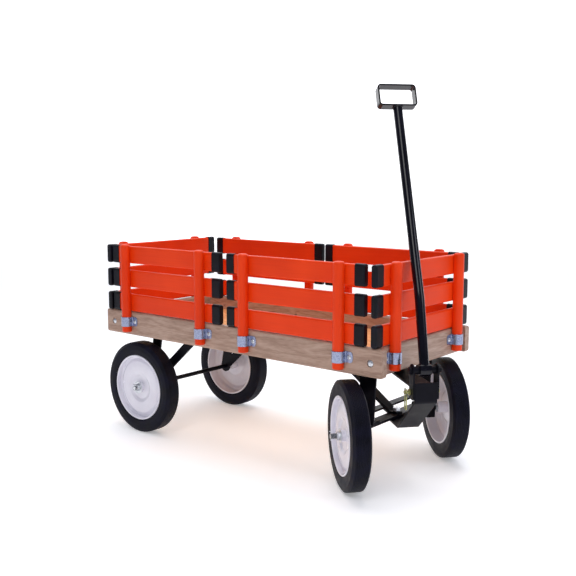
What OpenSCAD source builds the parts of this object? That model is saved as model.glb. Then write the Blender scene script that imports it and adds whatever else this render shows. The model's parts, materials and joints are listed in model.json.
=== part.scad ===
// Kids pull wagon: a wooden bed with lift-off stake racks on four rubber-tyred wheels,
// steered front wheels and a pull handle that leans back against the front rack.
// Millimetres, +Z up, +X towards the handle, +Y to the wagon's left. The modules measure
// heights from the ground; the finished parts are set down so that the origin is at the
// middle of the cargo floor's top face.

/* [Bed] */
// Length of the side rails
bed_length = 932; // [920:2:944]
// Width over the side rails
bed_width = 400; // [396:1:404]
// Height of all four rails
rail_height = 66; // [62:1:68]
// Thickness of all four rails
rail_thick = 20; // [19:0.5:21]
// Clear height between the tyres' tops and the rails
bed_clearance = 18; // [17:1:22]
// Thickness of the floor panel
floor_thick = 18; // [15:1:19]
// How far the side rails run past the end rails
rail_overrun = 14; // [10:1:16]

/* [Racks] */
// Height of one slat
slat_height = 47.5; // [46:0.5:48]
// Thickness of one slat
slat_thick = 13; // [12:0.5:14]
// Distance from one slat to the next
slat_pitch = 66.5; // [65:0.5:67]
// Half length of every rack, with its caps
rack_half = 208; // [207:0.5:208]
// Length of one slat's end cap
cap_length = 27; // [25:1:28]
// How far a cap stands proud of its slat
cap_proud = 1.5; // [1:0.25:1.5]
// Diameter of one post, a round bar with a flat on its inner side
post_width = 26.5; // [25:0.5:26.5]

/* [Wheels] */
// Outer diameter of every tyre
wheel_diameter = 254; // [250:1:258]
// Width of every tyre
tyre_width = 45; // [43:0.5:46]
// Radius of the rim where the tyre sits
rim_radius = 91; // [90:0.5:92]
// Radius of the axle rods
axle_radius = 6; // [5.5:0.25:6]
// Distance from the middle of the bed to the rear axle
rear_axle_x = 337; // [330:1:344]
// Half track of the rear wheels
rear_track_half = 183.5; // [182:0.5:185]

/* [Steering] */
// Distance from the middle of the bed to the kingpins
kingpin_x = 381; // [378:1:384]
// Half of the distance between the two kingpins
kingpin_y = 146; // [145:0.5:147]
// How far a front wheel stands outboard of its kingpin
wheel_outset = 38; // [37.5:0.5:39]
// How far a front wheel stands ahead of its kingpin
wheel_lead = 21; // [20:0.5:22]
// Length of the steering arms
arm_length = 82; // [80:1:84]
// Angle of the steering as it stands, with 0 straight ahead and right negative
steer_rest = -40; // [-40:1:-30]

/* [Handle] */
// Height of the handle's pivot above the ground
pivot_z = 290; // [288:1:292]
// Distance of the handle's pivot ahead of the steering axis
pivot_u = 191; // [189:1:193]
// Diameter of the handle's tube
tube_diameter = 22; // [20:0.5:24]
// Backward lean of the tube below its bend
lean_low = 15; // [13:1:15]
// Backward lean of the tube above its bend
lean_high = 23; // [20:1:23]
// Width over the hand grip
grip_width = 94; // [86:1:98]
// Height over the hand grip
grip_height = 56; // [52:1:58]
// Width of the grip's flat strap
grip_depth = 24; // [22:1:26]

/* [Hidden] */
$fn = 64;
RACKS = ["right_front", "right_rear", "left_front", "left_rear", "front", "rear"];
WHEELS = ["rear_right", "rear_left", "front_right", "front_left"];
RACK_PARTS = ["slats", "posts", "caps"];
WHEEL_PARTS = ["tyre", "rim", "bush"];
BED_NODES = [
    "floor_panel", "right_rail", "left_rail", "front_rail", "rear_rail", "rail_bolts",
    "post_straps", "strap_screws", "rear_axle", "rear_axle_hardware", "rear_bracket_right",
    "rear_bracket_left", "front_beam", "front_post_right", "front_post_left",
    "centre_brace", "pivot_plate", "undercarriage_bolts", "kingpins"
];
STEERING_NODES = [
    "steering_yoke", "yoke_ears", "tongue_pivot_bolt", "hitch_pin", "tie_rod",
    "spindle_right", "spindle_left", "spindle_hardware_right", "spindle_hardware_left"
];
HANDLE_NODES = ["handle_tube", "hand_grip"];

// Colours of the real finishes
birch = [0.74, 0.60, 0.46];
orange_paint = [0.84, 0.25, 0.10];
black_paint = [0.08, 0.08, 0.09];
black_plastic = [0.10, 0.10, 0.12];
zinc = [0.72, 0.76, 0.82];
yellow_zinc = [0.78, 0.72, 0.34];
rim_paint = [0.90, 0.88, 0.90];
tyre_rubber = [0.13, 0.13, 0.15];
nylon = [0.85, 0.85, 0.80];

// Gaps: between bodies, in a running fit, and of a pin in a loose hole
body_gap = 0.4;
run_fit = 0.05;
loose_fit = 0.4;

// Bed levels and places
wheel_z = wheel_diameter / 2;
rail_bottom = wheel_diameter + bed_clearance;
rail_top = rail_bottom + rail_height;
floor_bottom = rail_bottom + 9;
floor_top = floor_bottom + floor_thick;
half_length = bed_length / 2;
half_width = bed_width / 2;
end_face_x = half_length - rail_overrun;
rail_round = 6;
rail_corner = 6;
rail_bolt_inset = 30;
rail_bolt_z = rail_bottom + 32;
rail_bolt_radius = 3;
rail_bolt_sink = 3.5;

// Racks: [middle of the outer face, turn about Z, half spacing of the posts, strap tab side]
side_post = 144;
end_post = 142;
RACK_PLACES = [
    [[212, -half_width], 0, side_post, 1],
    [[-227, -half_width], 0, side_post, 1],
    [[227, half_width], 180, side_post, 1],
    [[-199, half_width], 180, side_post, 1],
    [[end_face_x, 4], 90, end_post, -1],
    [[-end_face_x, 2], -90, end_post, -1]
];
slat_start = rail_top + body_gap + cap_proud + slat_height / 2;
slat_levels = [for (i = [0:2]) slat_start + i * slat_pitch];
slat_round = 4;
cap_wall = 3;
post_depth = 8.6;
post_outside = post_depth + post_width / 2 + body_gap;
post_bottom = rail_bottom + 10;
post_top = slat_levels[2] + slat_height / 2 + 5;
post_chamfer = 3.5;

// Straps that hold the posts to the rails
strap_height = 26;
strap_thick = 1.6;
strap_z = rail_bottom + 39;
strap_tab = 19;
strap_gap = 0.4;
screw_radius = 2.5;
screw_length = rail_thick + strap_thick + 0.5;

// Undercarriage plates and fasteners
plate = 5;
beam_bottom = wheel_z + 7.5;
beam_thick = 6;
beam_top = beam_bottom + beam_thick;
beam_half_width = 15;
front_post_y = 125;
front_post_width = 45;
rear_bracket_y = 150;
axle_boss = 17;
bolt_radius = 4;
bolt_head = 8.5;
bolt_head_sink = 4.75;
pivot_nut_sink = 10.5;
kingpin_radius = 6;
brace_width = 28;
brace_foot_x = kingpin_x - 13;
brace_top_x = 182;
rear_leg_top_x = 307;
rear_brace_top_x = 160;

// Wheel parts
hub_radius = 14;
hub_half = 19;
bush_radius = 8.5;
nut_radius = 10.5;
spindle_half = 13;

// Steering yoke, in its own frame: u ahead of the steering axis, v to the left, z up
yoke_half = 26;
yoke_bottom = beam_bottom - 1 - plate;
yoke_top = floor_bottom - 28.5;
yoke_bend_u = 88;
yoke_front_u = 206;
yoke_bend_z = yoke_bottom + 91;
yoke_front_top = yoke_top + 11.5;
ear_thick = 4;
ear_bottom = 225;
ear_round = 14;
flange_u = 168;
hitch_z = 240;
hitch_u = 184;
pivot_bolt_radius = 5;
eye_radius = 14;
eye_half = 13;
tie_bottom = yoke_bottom + plate + 1;

// Handle tube: from the eye up to the bend, then up to the grip
tube_radius = tube_diameter / 2;
tube_low = 145;
tube_high = 479;
bend_radius = 200;
// The bent length is a hair wider than the straights, which reach a little way into it
bend_swell = 0.1;
bend_lap = 1;
tube_upper = tube_high - bend_radius * sin(lean_high - lean_low);
grip_strap = 4;
grip_round = 9;

// A rectangle about the origin with round corners
module round_rect(width, height, radius) {
    square([width - 2 * radius, height], center = true);
    square([width, height - 2 * radius], center = true);
    for (x = [-1, 1], y = [-1, 1])
        translate([x * (width / 2 - radius), y * (height / 2 - radius)]) circle(radius);
}

// A straight bar along X with rounded long edges
module bar_x(length, width, height, radius) {
    rotate([90, 0, 90])
        linear_extrude(length, center = true) round_rect(width, height, radius);
}

// A shape drawn in X and Z, given a width along Y
module plate_xz(width) {
    rotate([90, 0, 0]) linear_extrude(width, center = true) children();
}

// A bolt along +Z from its head's face, with a domed head below z = 0
module domed_bolt(radius, head, length) {
    cylinder(r = radius, h = length);
    intersection() {
        translate([0, 0, head * 0.75]) sphere(r = head * 1.25);
        translate([0, 0, -head]) cylinder(r = head, h = head);
    }
}

// A hexagon nut standing on z = 0, with its hole
module hex_nut(radius, height, hole) {
    difference() {
        cylinder(r = radius, h = height, $fn = 6);
        translate([0, 0, -1]) cylinder(r = hole, h = height + 2);
    }
}

// A washer or spacer standing on z = 0
module ring(outer, inner, height) {
    difference() {
        cylinder(r = outer, h = height);
        translate([0, 0, -1]) cylinder(r = inner, h = height + 2);
    }
}

// ---- Bed ----

module floor_panel() {
    color(birch)
        difference() {
            translate([rail_thick - end_face_x, rail_thick - half_width, floor_bottom])
                cube([2 * (end_face_x - rail_thick), bed_width - 2 * rail_thick, floor_thick]);
            floor_bolt_places() {
                translate([0, 0, -40]) cylinder(r = bolt_radius, h = 80);
                translate([0, 0, floor_thick - bolt_head_sink])
                    cylinder(r = bolt_head + 0.5, h = floor_thick);
            }
            translate([kingpin_x, 0, 0]) cylinder(r = kingpin_radius, h = rail_top);
            translate([kingpin_x, 0, floor_top - pivot_nut_sink]) cylinder(r = 12, h = 20);
        }
}

module side_rail(side) {
    color(birch)
        difference() {
            translate([0, side * (half_width - rail_thick / 2), rail_bottom + rail_height / 2])
                intersection() {
                    bar_x(bed_length, rail_thick, rail_height, rail_round);
                    plate_xz(2 * rail_thick) round_rect(bed_length, rail_height, rail_corner);
                }
            rail_bolt_places() {
                cylinder(r = rail_bolt_radius, h = 90);
                translate([0, 0, -rail_bolt_sink - 1])
                    cylinder(r = bolt_head, h = rail_bolt_sink + 1);
            }
            strap_screw_places() cylinder(r = screw_radius, h = screw_length);
        }
}

module end_rail(side) {
    color(birch)
        difference() {
            translate([side * (end_face_x - rail_thick / 2), 0, rail_bottom + rail_height / 2])
                rotate([0, 0, 90])
                    bar_x(bed_width - 2 * rail_thick, rail_thick, rail_height, rail_round);
            rail_bolt_places() cylinder(r = rail_bolt_radius, h = 90);
            strap_screw_places() cylinder(r = screw_radius, h = screw_length);
        }
}

// The four corner bolts' places, each with +Z along its bolt and into the rail
module rail_bolt_places() {
    for (x = [-1, 1], side = [-1, 1])
        translate([
            x * (half_length - rail_bolt_inset), side * (half_width - rail_bolt_sink), rail_bolt_z
        ]) rotate([90 * side, 0, 0]) children();
}

module rail_bolts() {
    color(zinc) rail_bolt_places() domed_bolt(rail_bolt_radius, 7.5, 66);
}

// ---- Straps ----

// The outline of a post: a circle cut by a flat that stands just clear of the rail at y = 0
module post_outline() {
    intersection() {
        translate([0, -post_depth - body_gap]) circle(post_width / 2);
        translate([0, -2 * post_width - body_gap]) square(4 * post_width, center = true);
    }
}

// Each rack's own frame: X along the rack, -Y outwards, y = 0 on the rail's outer face
module rack_place(place) {
    translate([place[0][0], place[0][1], 0]) rotate([0, 0, place[1]]) children();
}

// Where a rack's posts stand along it
function post_places(place) = [-place[2], place[2]];

// The same frame, moved outwards so that a rack slides clear of its rail
module rack_body(place) {
    rack_place(place) translate([0, -body_gap, 0]) children();
}

// The outline round a post that a strap follows: a half circle with straight sides drawn on
// past the rail's face, grown by the same amount all round
module strap_outline(grow) {
    translate([0, -post_depth - body_gap]) circle(post_width / 2 + grow);
    translate([-post_width / 2 - grow, -post_depth - body_gap])
        square([post_width + 2 * grow, 3 * post_depth]);
}

module strap(tab_side) {
    inner = strap_gap;
    outer = strap_gap + strap_thick;
    tab_start = post_width / 2 + outer;
    translate([0, 0, strap_z - strap_height / 2]) difference() {
        linear_extrude(strap_height) strap_outline(outer);
        translate([0, 0, -1]) linear_extrude(strap_height + 2) strap_outline(inner);
        translate([-post_width, 0, -1]) cube([2 * post_width, post_width, strap_height + 2]);
    }
    difference() {
        plate_tab(tab_side, tab_start, -strap_thick);
        translate([tab_side * (tab_start + strap_tab / 2), 0, strap_z]) rotate([90, 0, 0])
            cylinder(r = screw_radius, h = 20, center = true);
    }
    plate_tab(-tab_side, tab_start - 1, -strap_thick, 4);
}

// A strap's flat tab on the rail, with a round end
module plate_tab(side, start, back, length = strap_tab) {
    corner = min(8, length - 0.5);
    intersection() {
        translate([side * start + (side > 0 ? -1 : -length), back, strap_z - strap_height / 2])
            cube([length + 1, strap_thick, strap_height]);
        translate([side * (start + length - 30), 0, strap_z])
            plate_xz(20) round_rect(60, strap_height, corner);
    }
}

module post_straps() {
    color(zinc)
        for (place = RACK_PLACES) rack_place(place)
            for (x = post_places(place)) translate([x, 0, 0]) strap(place[3]);
}

// The straps' screws, each with +Z along its screw and into the rail
module strap_screw_places() {
    for (place = RACK_PLACES) rack_place(place)
        for (x = post_places(place))
            translate([
                x + place[3] * (post_width / 2 + strap_gap + strap_thick + strap_tab / 2),
                -strap_thick, strap_z
            ]) rotate([-90, 0, 0]) children();
}

module strap_screws() {
    color(zinc) strap_screw_places() domed_bolt(screw_radius, 5.5, screw_length);
}

// ---- Rear undercarriage ----

module rear_axle() {
    color(black_paint)
        translate([-rear_axle_x, 0, wheel_z]) rotate([90, 0, 0])
            cylinder(r = axle_radius, h = 2 * (rear_track_half + 34), center = true);
}

// One strap of a bracket in X and Z, from one point to another
module strap_xz(start, end, width) {
    run = end - start;
    translate(start) rotate(atan2(run[1], run[0])) translate([0, -width / 2])
        square([norm(run), width]);
}

module rear_bracket(side) {
    axle = [-rear_axle_x, wheel_z];
    leg_top = [-rear_leg_top_x, floor_bottom];
    brace_top = [-rear_brace_top_x, floor_bottom];
    color(black_paint)
        difference() {
            translate([0, side * rear_bracket_y, 0]) {
                plate_xz(plate) intersection() {
                    union() {
                        translate(axle) circle(axle_boss);
                        strap_xz(axle, leg_top + [6, 30], 32);
                        strap_xz(axle, brace_top + [33, 30], 24);
                    }
                    translate([-600, 0]) square([600, floor_bottom]);
                }
                for (top = [leg_top, brace_top])
                    translate([
                        top[0] - 17, side > 0 ? -40 : 0, floor_bottom - plate
                    ]) cube([34, 40, plate]);
            }
            translate([-rear_axle_x, 0, wheel_z]) rotate([90, 0, 0])
                cylinder(r = axle_radius, h = bed_width, center = true);
            floor_bolt_places() translate([0, 0, -40]) cylinder(r = bolt_radius, h = 80);
        }
}

// Spacers, washers and nuts of the rear axle
module rear_axle_hardware() {
    inner_end = rear_bracket_y + plate / 2;
    hub_inner = rear_track_half - hub_half - body_gap;
    hub_outer = rear_track_half + hub_half + body_gap;
    color(zinc)
        for (side = [-1, 1])
            translate([-rear_axle_x, 0, wheel_z]) rotate([side > 0 ? -90 : 90, 0, 0]) {
                translate([0, 0, inner_end]) ring(10, axle_radius, hub_inner - inner_end);
                translate([0, 0, hub_outer]) ring(12, axle_radius, 2);
                translate([0, 0, hub_outer + 2]) hex_nut(nut_radius, 10, axle_radius);
            }
}

// ---- Front undercarriage ----

module front_beam() {
    color(black_paint)
        difference() {
            translate([kingpin_x, 0, beam_bottom]) linear_extrude(beam_thick) union() {
                square([2 * beam_half_width, 2 * kingpin_y], center = true);
                for (side = [-1, 1]) translate([0, side * kingpin_y]) circle(beam_half_width);
            }
            for (y = [-kingpin_y, 0, kingpin_y])
                translate([kingpin_x, y, 0]) cylinder(r = kingpin_radius, h = rail_bottom);
            for (side = [-1, 1])
                translate([kingpin_x, side * (front_post_y - 18), 0])
                    cylinder(r = bolt_radius, h = rail_bottom);
        }
}

module front_post(side) {
    inward = side > 0 ? -1 : 1;
    color(black_paint)
        difference() {
            translate([kingpin_x, side * front_post_y, 0]) {
                plate_xz(plate) polygon([
                    [-front_post_width / 2 + 6, beam_top], [front_post_width / 2 - 6, beam_top],
                    [front_post_width / 2, floor_bottom - 30], [front_post_width / 2, floor_bottom],
                    [-front_post_width / 2, floor_bottom], [-front_post_width / 2, floor_bottom - 30]
                ]);
                translate([-front_post_width / 2, inward > 0 ? 0 : -40, floor_bottom - plate])
                    cube([front_post_width, 40, plate]);
                translate([-beam_half_width, inward > 0 ? 0 : -30, beam_top])
                    cube([2 * beam_half_width, 30, plate]);
            }
            floor_bolt_places() translate([0, 0, -40]) cylinder(r = bolt_radius, h = 80);
            translate([kingpin_x, side * (front_post_y - 18), 0])
                cylinder(r = bolt_radius, h = rail_bottom);
        }
}

module centre_brace() {
    tilt = atan2(floor_bottom - beam_top, brace_foot_x - brace_top_x);
    rise = plate / cos(tilt);
    color(black_paint)
        difference() {
            intersection() {
                plate_xz(brace_width) polygon([
                    [kingpin_x + 14, beam_top], [brace_foot_x - rise / 2, beam_top],
                    [brace_top_x - rise / 2, floor_bottom - plate],
                    [brace_top_x - 40, floor_bottom - plate],
                    [brace_top_x - 40, floor_bottom], [brace_top_x + rise / 2, floor_bottom],
                    [brace_foot_x + rise / 2, beam_top + plate], [kingpin_x + 14, beam_top + plate]
                ]);
                linear_extrude(rail_bottom * 2) union() {
                    translate([0, -brace_width / 2]) square([kingpin_x, brace_width]);
                    translate([kingpin_x, 0]) circle(brace_width / 2);
                }
            }
            translate([kingpin_x, 0, 0]) cylinder(r = kingpin_radius, h = rail_top);
            floor_bolt_places() translate([0, 0, -40]) cylinder(r = bolt_radius, h = 80);
        }
}

// Plate and spacer under the floor that the yoke's upper end turns on
module pivot_plate() {
    color(black_paint)
        difference() {
            translate([kingpin_x, 0, 0]) {
                translate([0, 0, floor_bottom - plate / 2]) linear_extrude(plate, center = true)
                    round_rect(60, 90, 8);
                translate([0, 0, yoke_top + body_gap])
                    cylinder(r = 18, h = floor_bottom - plate - yoke_top - body_gap);
            }
            translate([kingpin_x, 0, 0]) cylinder(r = kingpin_radius, h = rail_top);
            floor_bolt_places() translate([0, 0, -40]) cylinder(r = bolt_radius, h = 80);
        }
}

// Every bolt that comes down through the floor, at the floor's bottom
module floor_bolt_places() {
    for (side = [-1, 1]) {
        for (x = [-rear_leg_top_x, -rear_brace_top_x])
            translate([x, side * (rear_bracket_y - 22), floor_bottom]) children();
        for (x = [-12, 12])
            translate([kingpin_x + x, side * (front_post_y - 24), floor_bottom]) children();
        translate([kingpin_x, side * 32, floor_bottom]) children();
    }
    translate([brace_top_x - 22, 0, floor_bottom]) children();
}

module undercarriage_bolts() {
    color(zinc) {
        floor_bolt_places() translate([0, 0, floor_thick - bolt_head_sink]) mirror([0, 0, 1])
            domed_bolt(bolt_radius, bolt_head, floor_thick - bolt_head_sink + plate + 9);
        floor_bolt_places() translate([0, 0, -plate - 6.5]) hex_nut(7.5, 6.5, bolt_radius);
        for (side = [-1, 1]) translate([kingpin_x, side * (front_post_y - 18), 0]) {
            translate([0, 0, beam_bottom - 4]) cylinder(r = bolt_radius, h = plate + 18);
            translate([0, 0, beam_bottom - 4]) cylinder(r = 7.5, h = 4, $fn = 6);
            translate([0, 0, beam_top + plate]) hex_nut(7.5, 6.5, bolt_radius);
        }
    }
}

// Kingpins of both wheels, and the yoke's upper and lower pivot bolts
module kingpins() {
    spindle_bottom = wheel_z - 23;
    upper_head = yoke_top - plate - body_gap - 8;
    pin = kingpin_radius - run_fit;
    color(zinc) {
        for (side = [-1, 1]) translate([kingpin_x, side * kingpin_y, 0]) {
            translate([0, 0, spindle_bottom - 8]) cylinder(r = pin, h = 56 + plate);
            translate([0, 0, spindle_bottom - 8]) cylinder(r = 10, h = 8 - body_gap, $fn = 6);
            translate([0, 0, beam_top]) hex_nut(10, 9, pin);
        }
        translate([kingpin_x, 0, 0]) {
            translate([0, 0, yoke_bottom - 14]) cylinder(r = pin, h = 38);
            translate([0, 0, beam_top + plate]) cylinder(r = 10, h = 8, $fn = 6);
            translate([0, 0, yoke_bottom - body_gap - 9]) hex_nut(10, 9, pin);
            translate([0, 0, upper_head]) cylinder(r = pin, h = floor_top - 1 - upper_head);
            translate([0, 0, upper_head]) cylinder(r = 10, h = 8, $fn = 6);
            translate([0, 0, floor_top - pivot_nut_sink]) hex_nut(10, 8, pin);
        }
    }
}

// ---- Steering ----

// The yoke's frame: origin on the ground under the steering axis, X straight ahead of it
module yoke_frame() {
    translate([kingpin_x, 0, 0]) rotate([0, 0, steer_rest]) children();
}

// A spindle's frame: origin on the ground under its kingpin
module spindle_frame(side) {
    translate([kingpin_x, side * kingpin_y, 0]) rotate([0, 0, steer_rest]) children();
}

module yoke_profile() {
    slope = atan2(yoke_bend_z - yoke_bottom, yoke_front_u - yoke_bend_u);
    shift = plate * tan(slope / 2);
    drop = plate * tan((90 - slope) / 2);
    polygon([
        [-arm_length - 20, yoke_bottom], [yoke_bend_u, yoke_bottom],
        [yoke_front_u, yoke_bend_z], [yoke_front_u, yoke_front_top],
        [yoke_front_u - plate, yoke_front_top], [yoke_front_u - plate, yoke_top],
        [-yoke_half, yoke_top], [-yoke_half, yoke_top - plate],
        [yoke_front_u - plate, yoke_top - plate], [yoke_front_u - plate, yoke_bend_z + drop],
        [yoke_bend_u - shift, yoke_bottom + plate], [-arm_length - 20, yoke_bottom + plate]
    ]);
}

module steering_yoke() {
    color(black_paint) yoke_frame()
        difference() {
            union() {
                intersection() {
                    plate_xz(2 * yoke_half) yoke_profile();
                    linear_extrude(2 * rail_bottom) union() {
                        circle(yoke_half);
                        translate([0, -yoke_half]) square([yoke_front_u, 2 * yoke_half]);
                        translate([-arm_length, -12]) square([arm_length, 24]);
                        translate([-arm_length, 0]) circle(12);
                    }
                }
                for (side = [-1, 1]) translate([0, side * (yoke_half - plate / 2), 0])
                    plate_xz(plate) polygon([
                        [flange_u, ear_bottom], [yoke_front_u - plate, ear_bottom],
                        [yoke_front_u - plate, yoke_top - plate], [flange_u, yoke_top - plate]
                    ]);
            }
            cylinder(r = kingpin_radius, h = rail_bottom);
            translate([-arm_length, 0, 0]) cylinder(r = bolt_radius + loose_fit, h = rail_bottom);
            hitch_place() cylinder(r = bolt_radius, h = 100, center = true);
        }
}

module hitch_place() {
    translate([hitch_u, 0, hitch_z]) rotate([90, 0, 0]) children();
}

module yoke_ears() {
    color(black_paint) yoke_frame()
        for (side = [-1, 1])
            difference() {
                translate([0, side * (yoke_half + ear_thick / 2), 0]) plate_xz(ear_thick) union() {
                    translate([pivot_u, pivot_z]) circle(ear_round);
                    translate([pivot_u - ear_round, ear_bottom])
                        square([2 * ear_round, pivot_z - ear_bottom]);
                }
                hitch_place() cylinder(r = bolt_radius, h = 100, center = true);
                pivot_place() cylinder(r = pivot_bolt_radius, h = 100, center = true);
            }
}

// The handle's pivot, with +Z along the bolt and to the right of the yoke
module pivot_place() {
    translate([pivot_u, 0, pivot_z]) rotate([90, 0, 0]) children();
}

module tongue_pivot_bolt() {
    outside = yoke_half + ear_thick;
    spacer = yoke_half - eye_half - body_gap;
    color(black_paint) yoke_frame() pivot_place() {
        translate([0, 0, -outside - 10])
            cylinder(r = pivot_bolt_radius - run_fit, h = 2 * outside + 12);
        translate([0, 0, outside]) cylinder(r = 8.5, h = 6, $fn = 6);
        translate([0, 0, -outside - 7]) hex_nut(8.5, 7, pivot_bolt_radius - run_fit);
        for (side = [-1, 1])
            translate([0, 0, side > 0 ? eye_half + body_gap : -yoke_half])
                ring(9, pivot_bolt_radius - run_fit, spacer);
    }
}

// Yellow-zinc pin through the ears, with a hairpin clip hanging from its head end
module hitch_pin() {
    outside = yoke_half + ear_thick;
    color(yellow_zinc) yoke_frame() {
        hitch_place() {
            translate([0, 0, -outside - 8]) cylinder(r = bolt_radius, h = 2 * outside + 22);
            translate([0, 0, -outside - 3]) cylinder(r = 7.5, h = 3);
            translate([0, 0, outside]) cylinder(r = 7.5, h = 3);
        }
        translate([hitch_u, -outside - 9.5, hitch_z]) hairpin();
    }
}

// A hairpin clip: a leg each side of the pin, joined by a bow below
module hairpin() {
    wire = 1.5;
    leg = 34;
    gap = bolt_radius + wire;
    for (side = [-1, 1]) translate([side * gap, 0, -leg]) cylinder(r = wire, h = leg + 8);
    translate([0, 0, -leg]) rotate([90, 0, 0]) rotate([0, 0, 180])
        rotate_extrude(angle = 180) translate([gap, 0]) circle(wire);
}

// Flat bar behind the beam, with a pin down into each steering arm and the yoke
module tie_rod() {
    ends = kingpin_y;
    color(black_paint)
        translate([
            kingpin_x - arm_length * cos(steer_rest), -arm_length * sin(steer_rest), 0
        ]) {
            translate([0, 0, tie_bottom]) linear_extrude(plate) union() {
                square([22, 2 * ends], center = true);
                for (side = [-1, 1]) translate([0, side * ends]) circle(11);
            }
            for (y = [-ends, 0, ends]) translate([0, y, 0]) {
                translate([0, 0, yoke_bottom - 5]) cylinder(r = bolt_radius, h = plate + 8);
                translate([0, 0, yoke_bottom - 5]) cylinder(r = 7.5, h = 5 - body_gap);
                translate([0, 0, tie_bottom + plate]) cylinder(r = 7, h = 4);
            }
        }
}

// Block on the kingpin, steering arm to the rear and stub axle to the outside
module spindle(side) {
    low = wheel_z - 23;
    high = beam_bottom - 1;
    color(black_paint) spindle_frame(side)
        difference() {
            union() {
                translate([(wheel_lead + 9 - spindle_half) / 2, 0, low])
                    linear_extrude(high - low)
                        round_rect(wheel_lead + 9 + spindle_half, 2 * spindle_half, 6);
                translate([-arm_length, -9, yoke_bottom]) cube([arm_length, 18, plate]);
                translate([-arm_length, 0, yoke_bottom]) cylinder(r = 9, h = plate);
                translate([wheel_lead, 0, wheel_z]) rotate([side > 0 ? -90 : 90, 0, 0])
                    cylinder(r = axle_radius, h = wheel_outset + hub_half + 24);
            }
            cylinder(r = kingpin_radius, h = rail_bottom);
            translate([-arm_length, 0, 0]) cylinder(r = bolt_radius + loose_fit, h = rail_bottom);
        }
}

// Spacer, washer, nut and cotter pin of one stub axle
module spindle_hardware(side) {
    hub_inner = wheel_outset - hub_half - body_gap;
    hub_outer = wheel_outset + hub_half + body_gap;
    color(zinc) spindle_frame(side)
        translate([wheel_lead, 0, wheel_z]) rotate([side > 0 ? -90 : 90, 0, 0]) {
            translate([0, 0, spindle_half]) ring(9, axle_radius, hub_inner - spindle_half);
            translate([0, 0, hub_outer]) ring(12, axle_radius, 2);
            translate([0, 0, hub_outer + 2]) hex_nut(nut_radius, 10, axle_radius);
        }
}

// ---- Handle ----

// The handle's frame: origin at the pivot, Z up the leaning lower tube
module handle_frame() {
    yoke_frame() translate([pivot_u, 0, pivot_z]) rotate([0, -lean_low, 0]) children();
}

// The frame of the bend's upper end: Z along the upper tube
module upper_tube_frame() {
    handle_frame() translate([-bend_radius, 0, tube_low])
        rotate([0, lean_low - lean_high, 0]) translate([bend_radius, 0, 0]) children();
}

module handle_tube() {
    color(black_paint)
        difference() {
            union() {
                handle_frame() {
                    rotate([90, 0, 0]) cylinder(r = eye_radius, h = 2 * eye_half, center = true);
                    cylinder(r = tube_radius, h = tube_low + bend_lap);
                    translate([-bend_radius, 0, tube_low]) rotate([90, 0, 0])
                        rotate_extrude(angle = lean_high - lean_low)
                            translate([bend_radius, 0]) circle(tube_radius + bend_swell);
                }
                upper_tube_frame() translate([0, 0, -bend_lap])
                    cylinder(r = tube_radius, h = tube_upper + bend_lap);
            }
            handle_frame() rotate([90, 0, 0])
                cylinder(r = pivot_bolt_radius, h = 100, center = true);
        }
}

module hand_grip() {
    color(black_paint) upper_tube_frame() translate([0, 0, tube_upper + grip_height / 2])
        rotate([90, 0, 90]) linear_extrude(grip_depth, center = true) difference() {
            round_rect(grip_width, grip_height, grip_round);
            round_rect(grip_width - 2 * grip_strap, grip_height - 2 * grip_strap,
                grip_round - grip_strap);
        }
}

// ---- Racks ----

module rack_slats(place) {
    color(orange_paint) rack_body(place)
        for (z = slat_levels) translate([0, slat_thick / 2, z])
            bar_x(2 * (rack_half - cap_wall), slat_thick, slat_height, slat_round);
}

module rack_posts(place) {
    color(orange_paint) rack_place(place)
        for (x = post_places(place)) translate([x, 0, 0]) intersection() {
            translate([0, 0, post_bottom]) linear_extrude(post_top - post_bottom)
                post_outline();
            rotate([90, 0, 0]) linear_extrude(4 * post_width, center = true)
                translate([0, (post_top + post_bottom) / 2])
                    round_rect(post_width, post_top - post_bottom, post_chamfer);
            rotate([90, 0, 90]) linear_extrude(4 * post_width, center = true)
                translate([post_width / 2 - post_outside / 2, (post_top + post_bottom) / 2])
                    round_rect(post_outside + post_width, post_top - post_bottom, 5);
        }
}

module rack_caps(place) {
    height = slat_height + 2 * cap_proud;
    thick = slat_thick + 2 * cap_proud;
    color(black_plastic) rack_body(place)
        for (side = [-1, 1], z = slat_levels) difference() {
            translate([side * (rack_half - cap_length / 2), slat_thick / 2, z])
                bar_x(cap_length, thick, height, slat_round + cap_proud);
            translate([0, slat_thick / 2, z])
                bar_x(2 * (rack_half - cap_wall), slat_thick, slat_height, slat_round);
        }
}

// ---- Wheels ----

// Each wheel's frame: origin at its middle, +Z outboard along its axle
module wheel_frame(i) {
    side = i % 2 == 0 ? -1 : 1;
    turn = [side > 0 ? -90 : 90, 0, 0];
    if (i < 2)
        translate([-rear_axle_x, side * rear_track_half, wheel_z]) rotate(turn) children();
    else
        spindle_frame(side) translate([wheel_lead, side * wheel_outset, wheel_z])
            rotate(turn) children();
}

module wheel_tyre(i) {
    half = tyre_width / 2;
    tread = wheel_z - 5;
    groove = 1.5;
    rows = [-12, -4, 4, 12];
    color(tyre_rubber) wheel_frame(i) difference() {
        rotate_extrude() polygon([
            [rim_radius, -half + 3], [rim_radius + 4, -half + 1], [tread - 14, -half],
            [tread, -half + 2], [wheel_z, -half + 6], [wheel_z, half - 6],
            [tread, half - 2], [tread - 14, half], [rim_radius + 4, half - 1],
            [rim_radius, half - 3]
        ]);
        for (z = rows) rotate_extrude()
            translate([wheel_z - groove, z - groove / 2]) square([2 * groove, groove]);
    }
}

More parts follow.
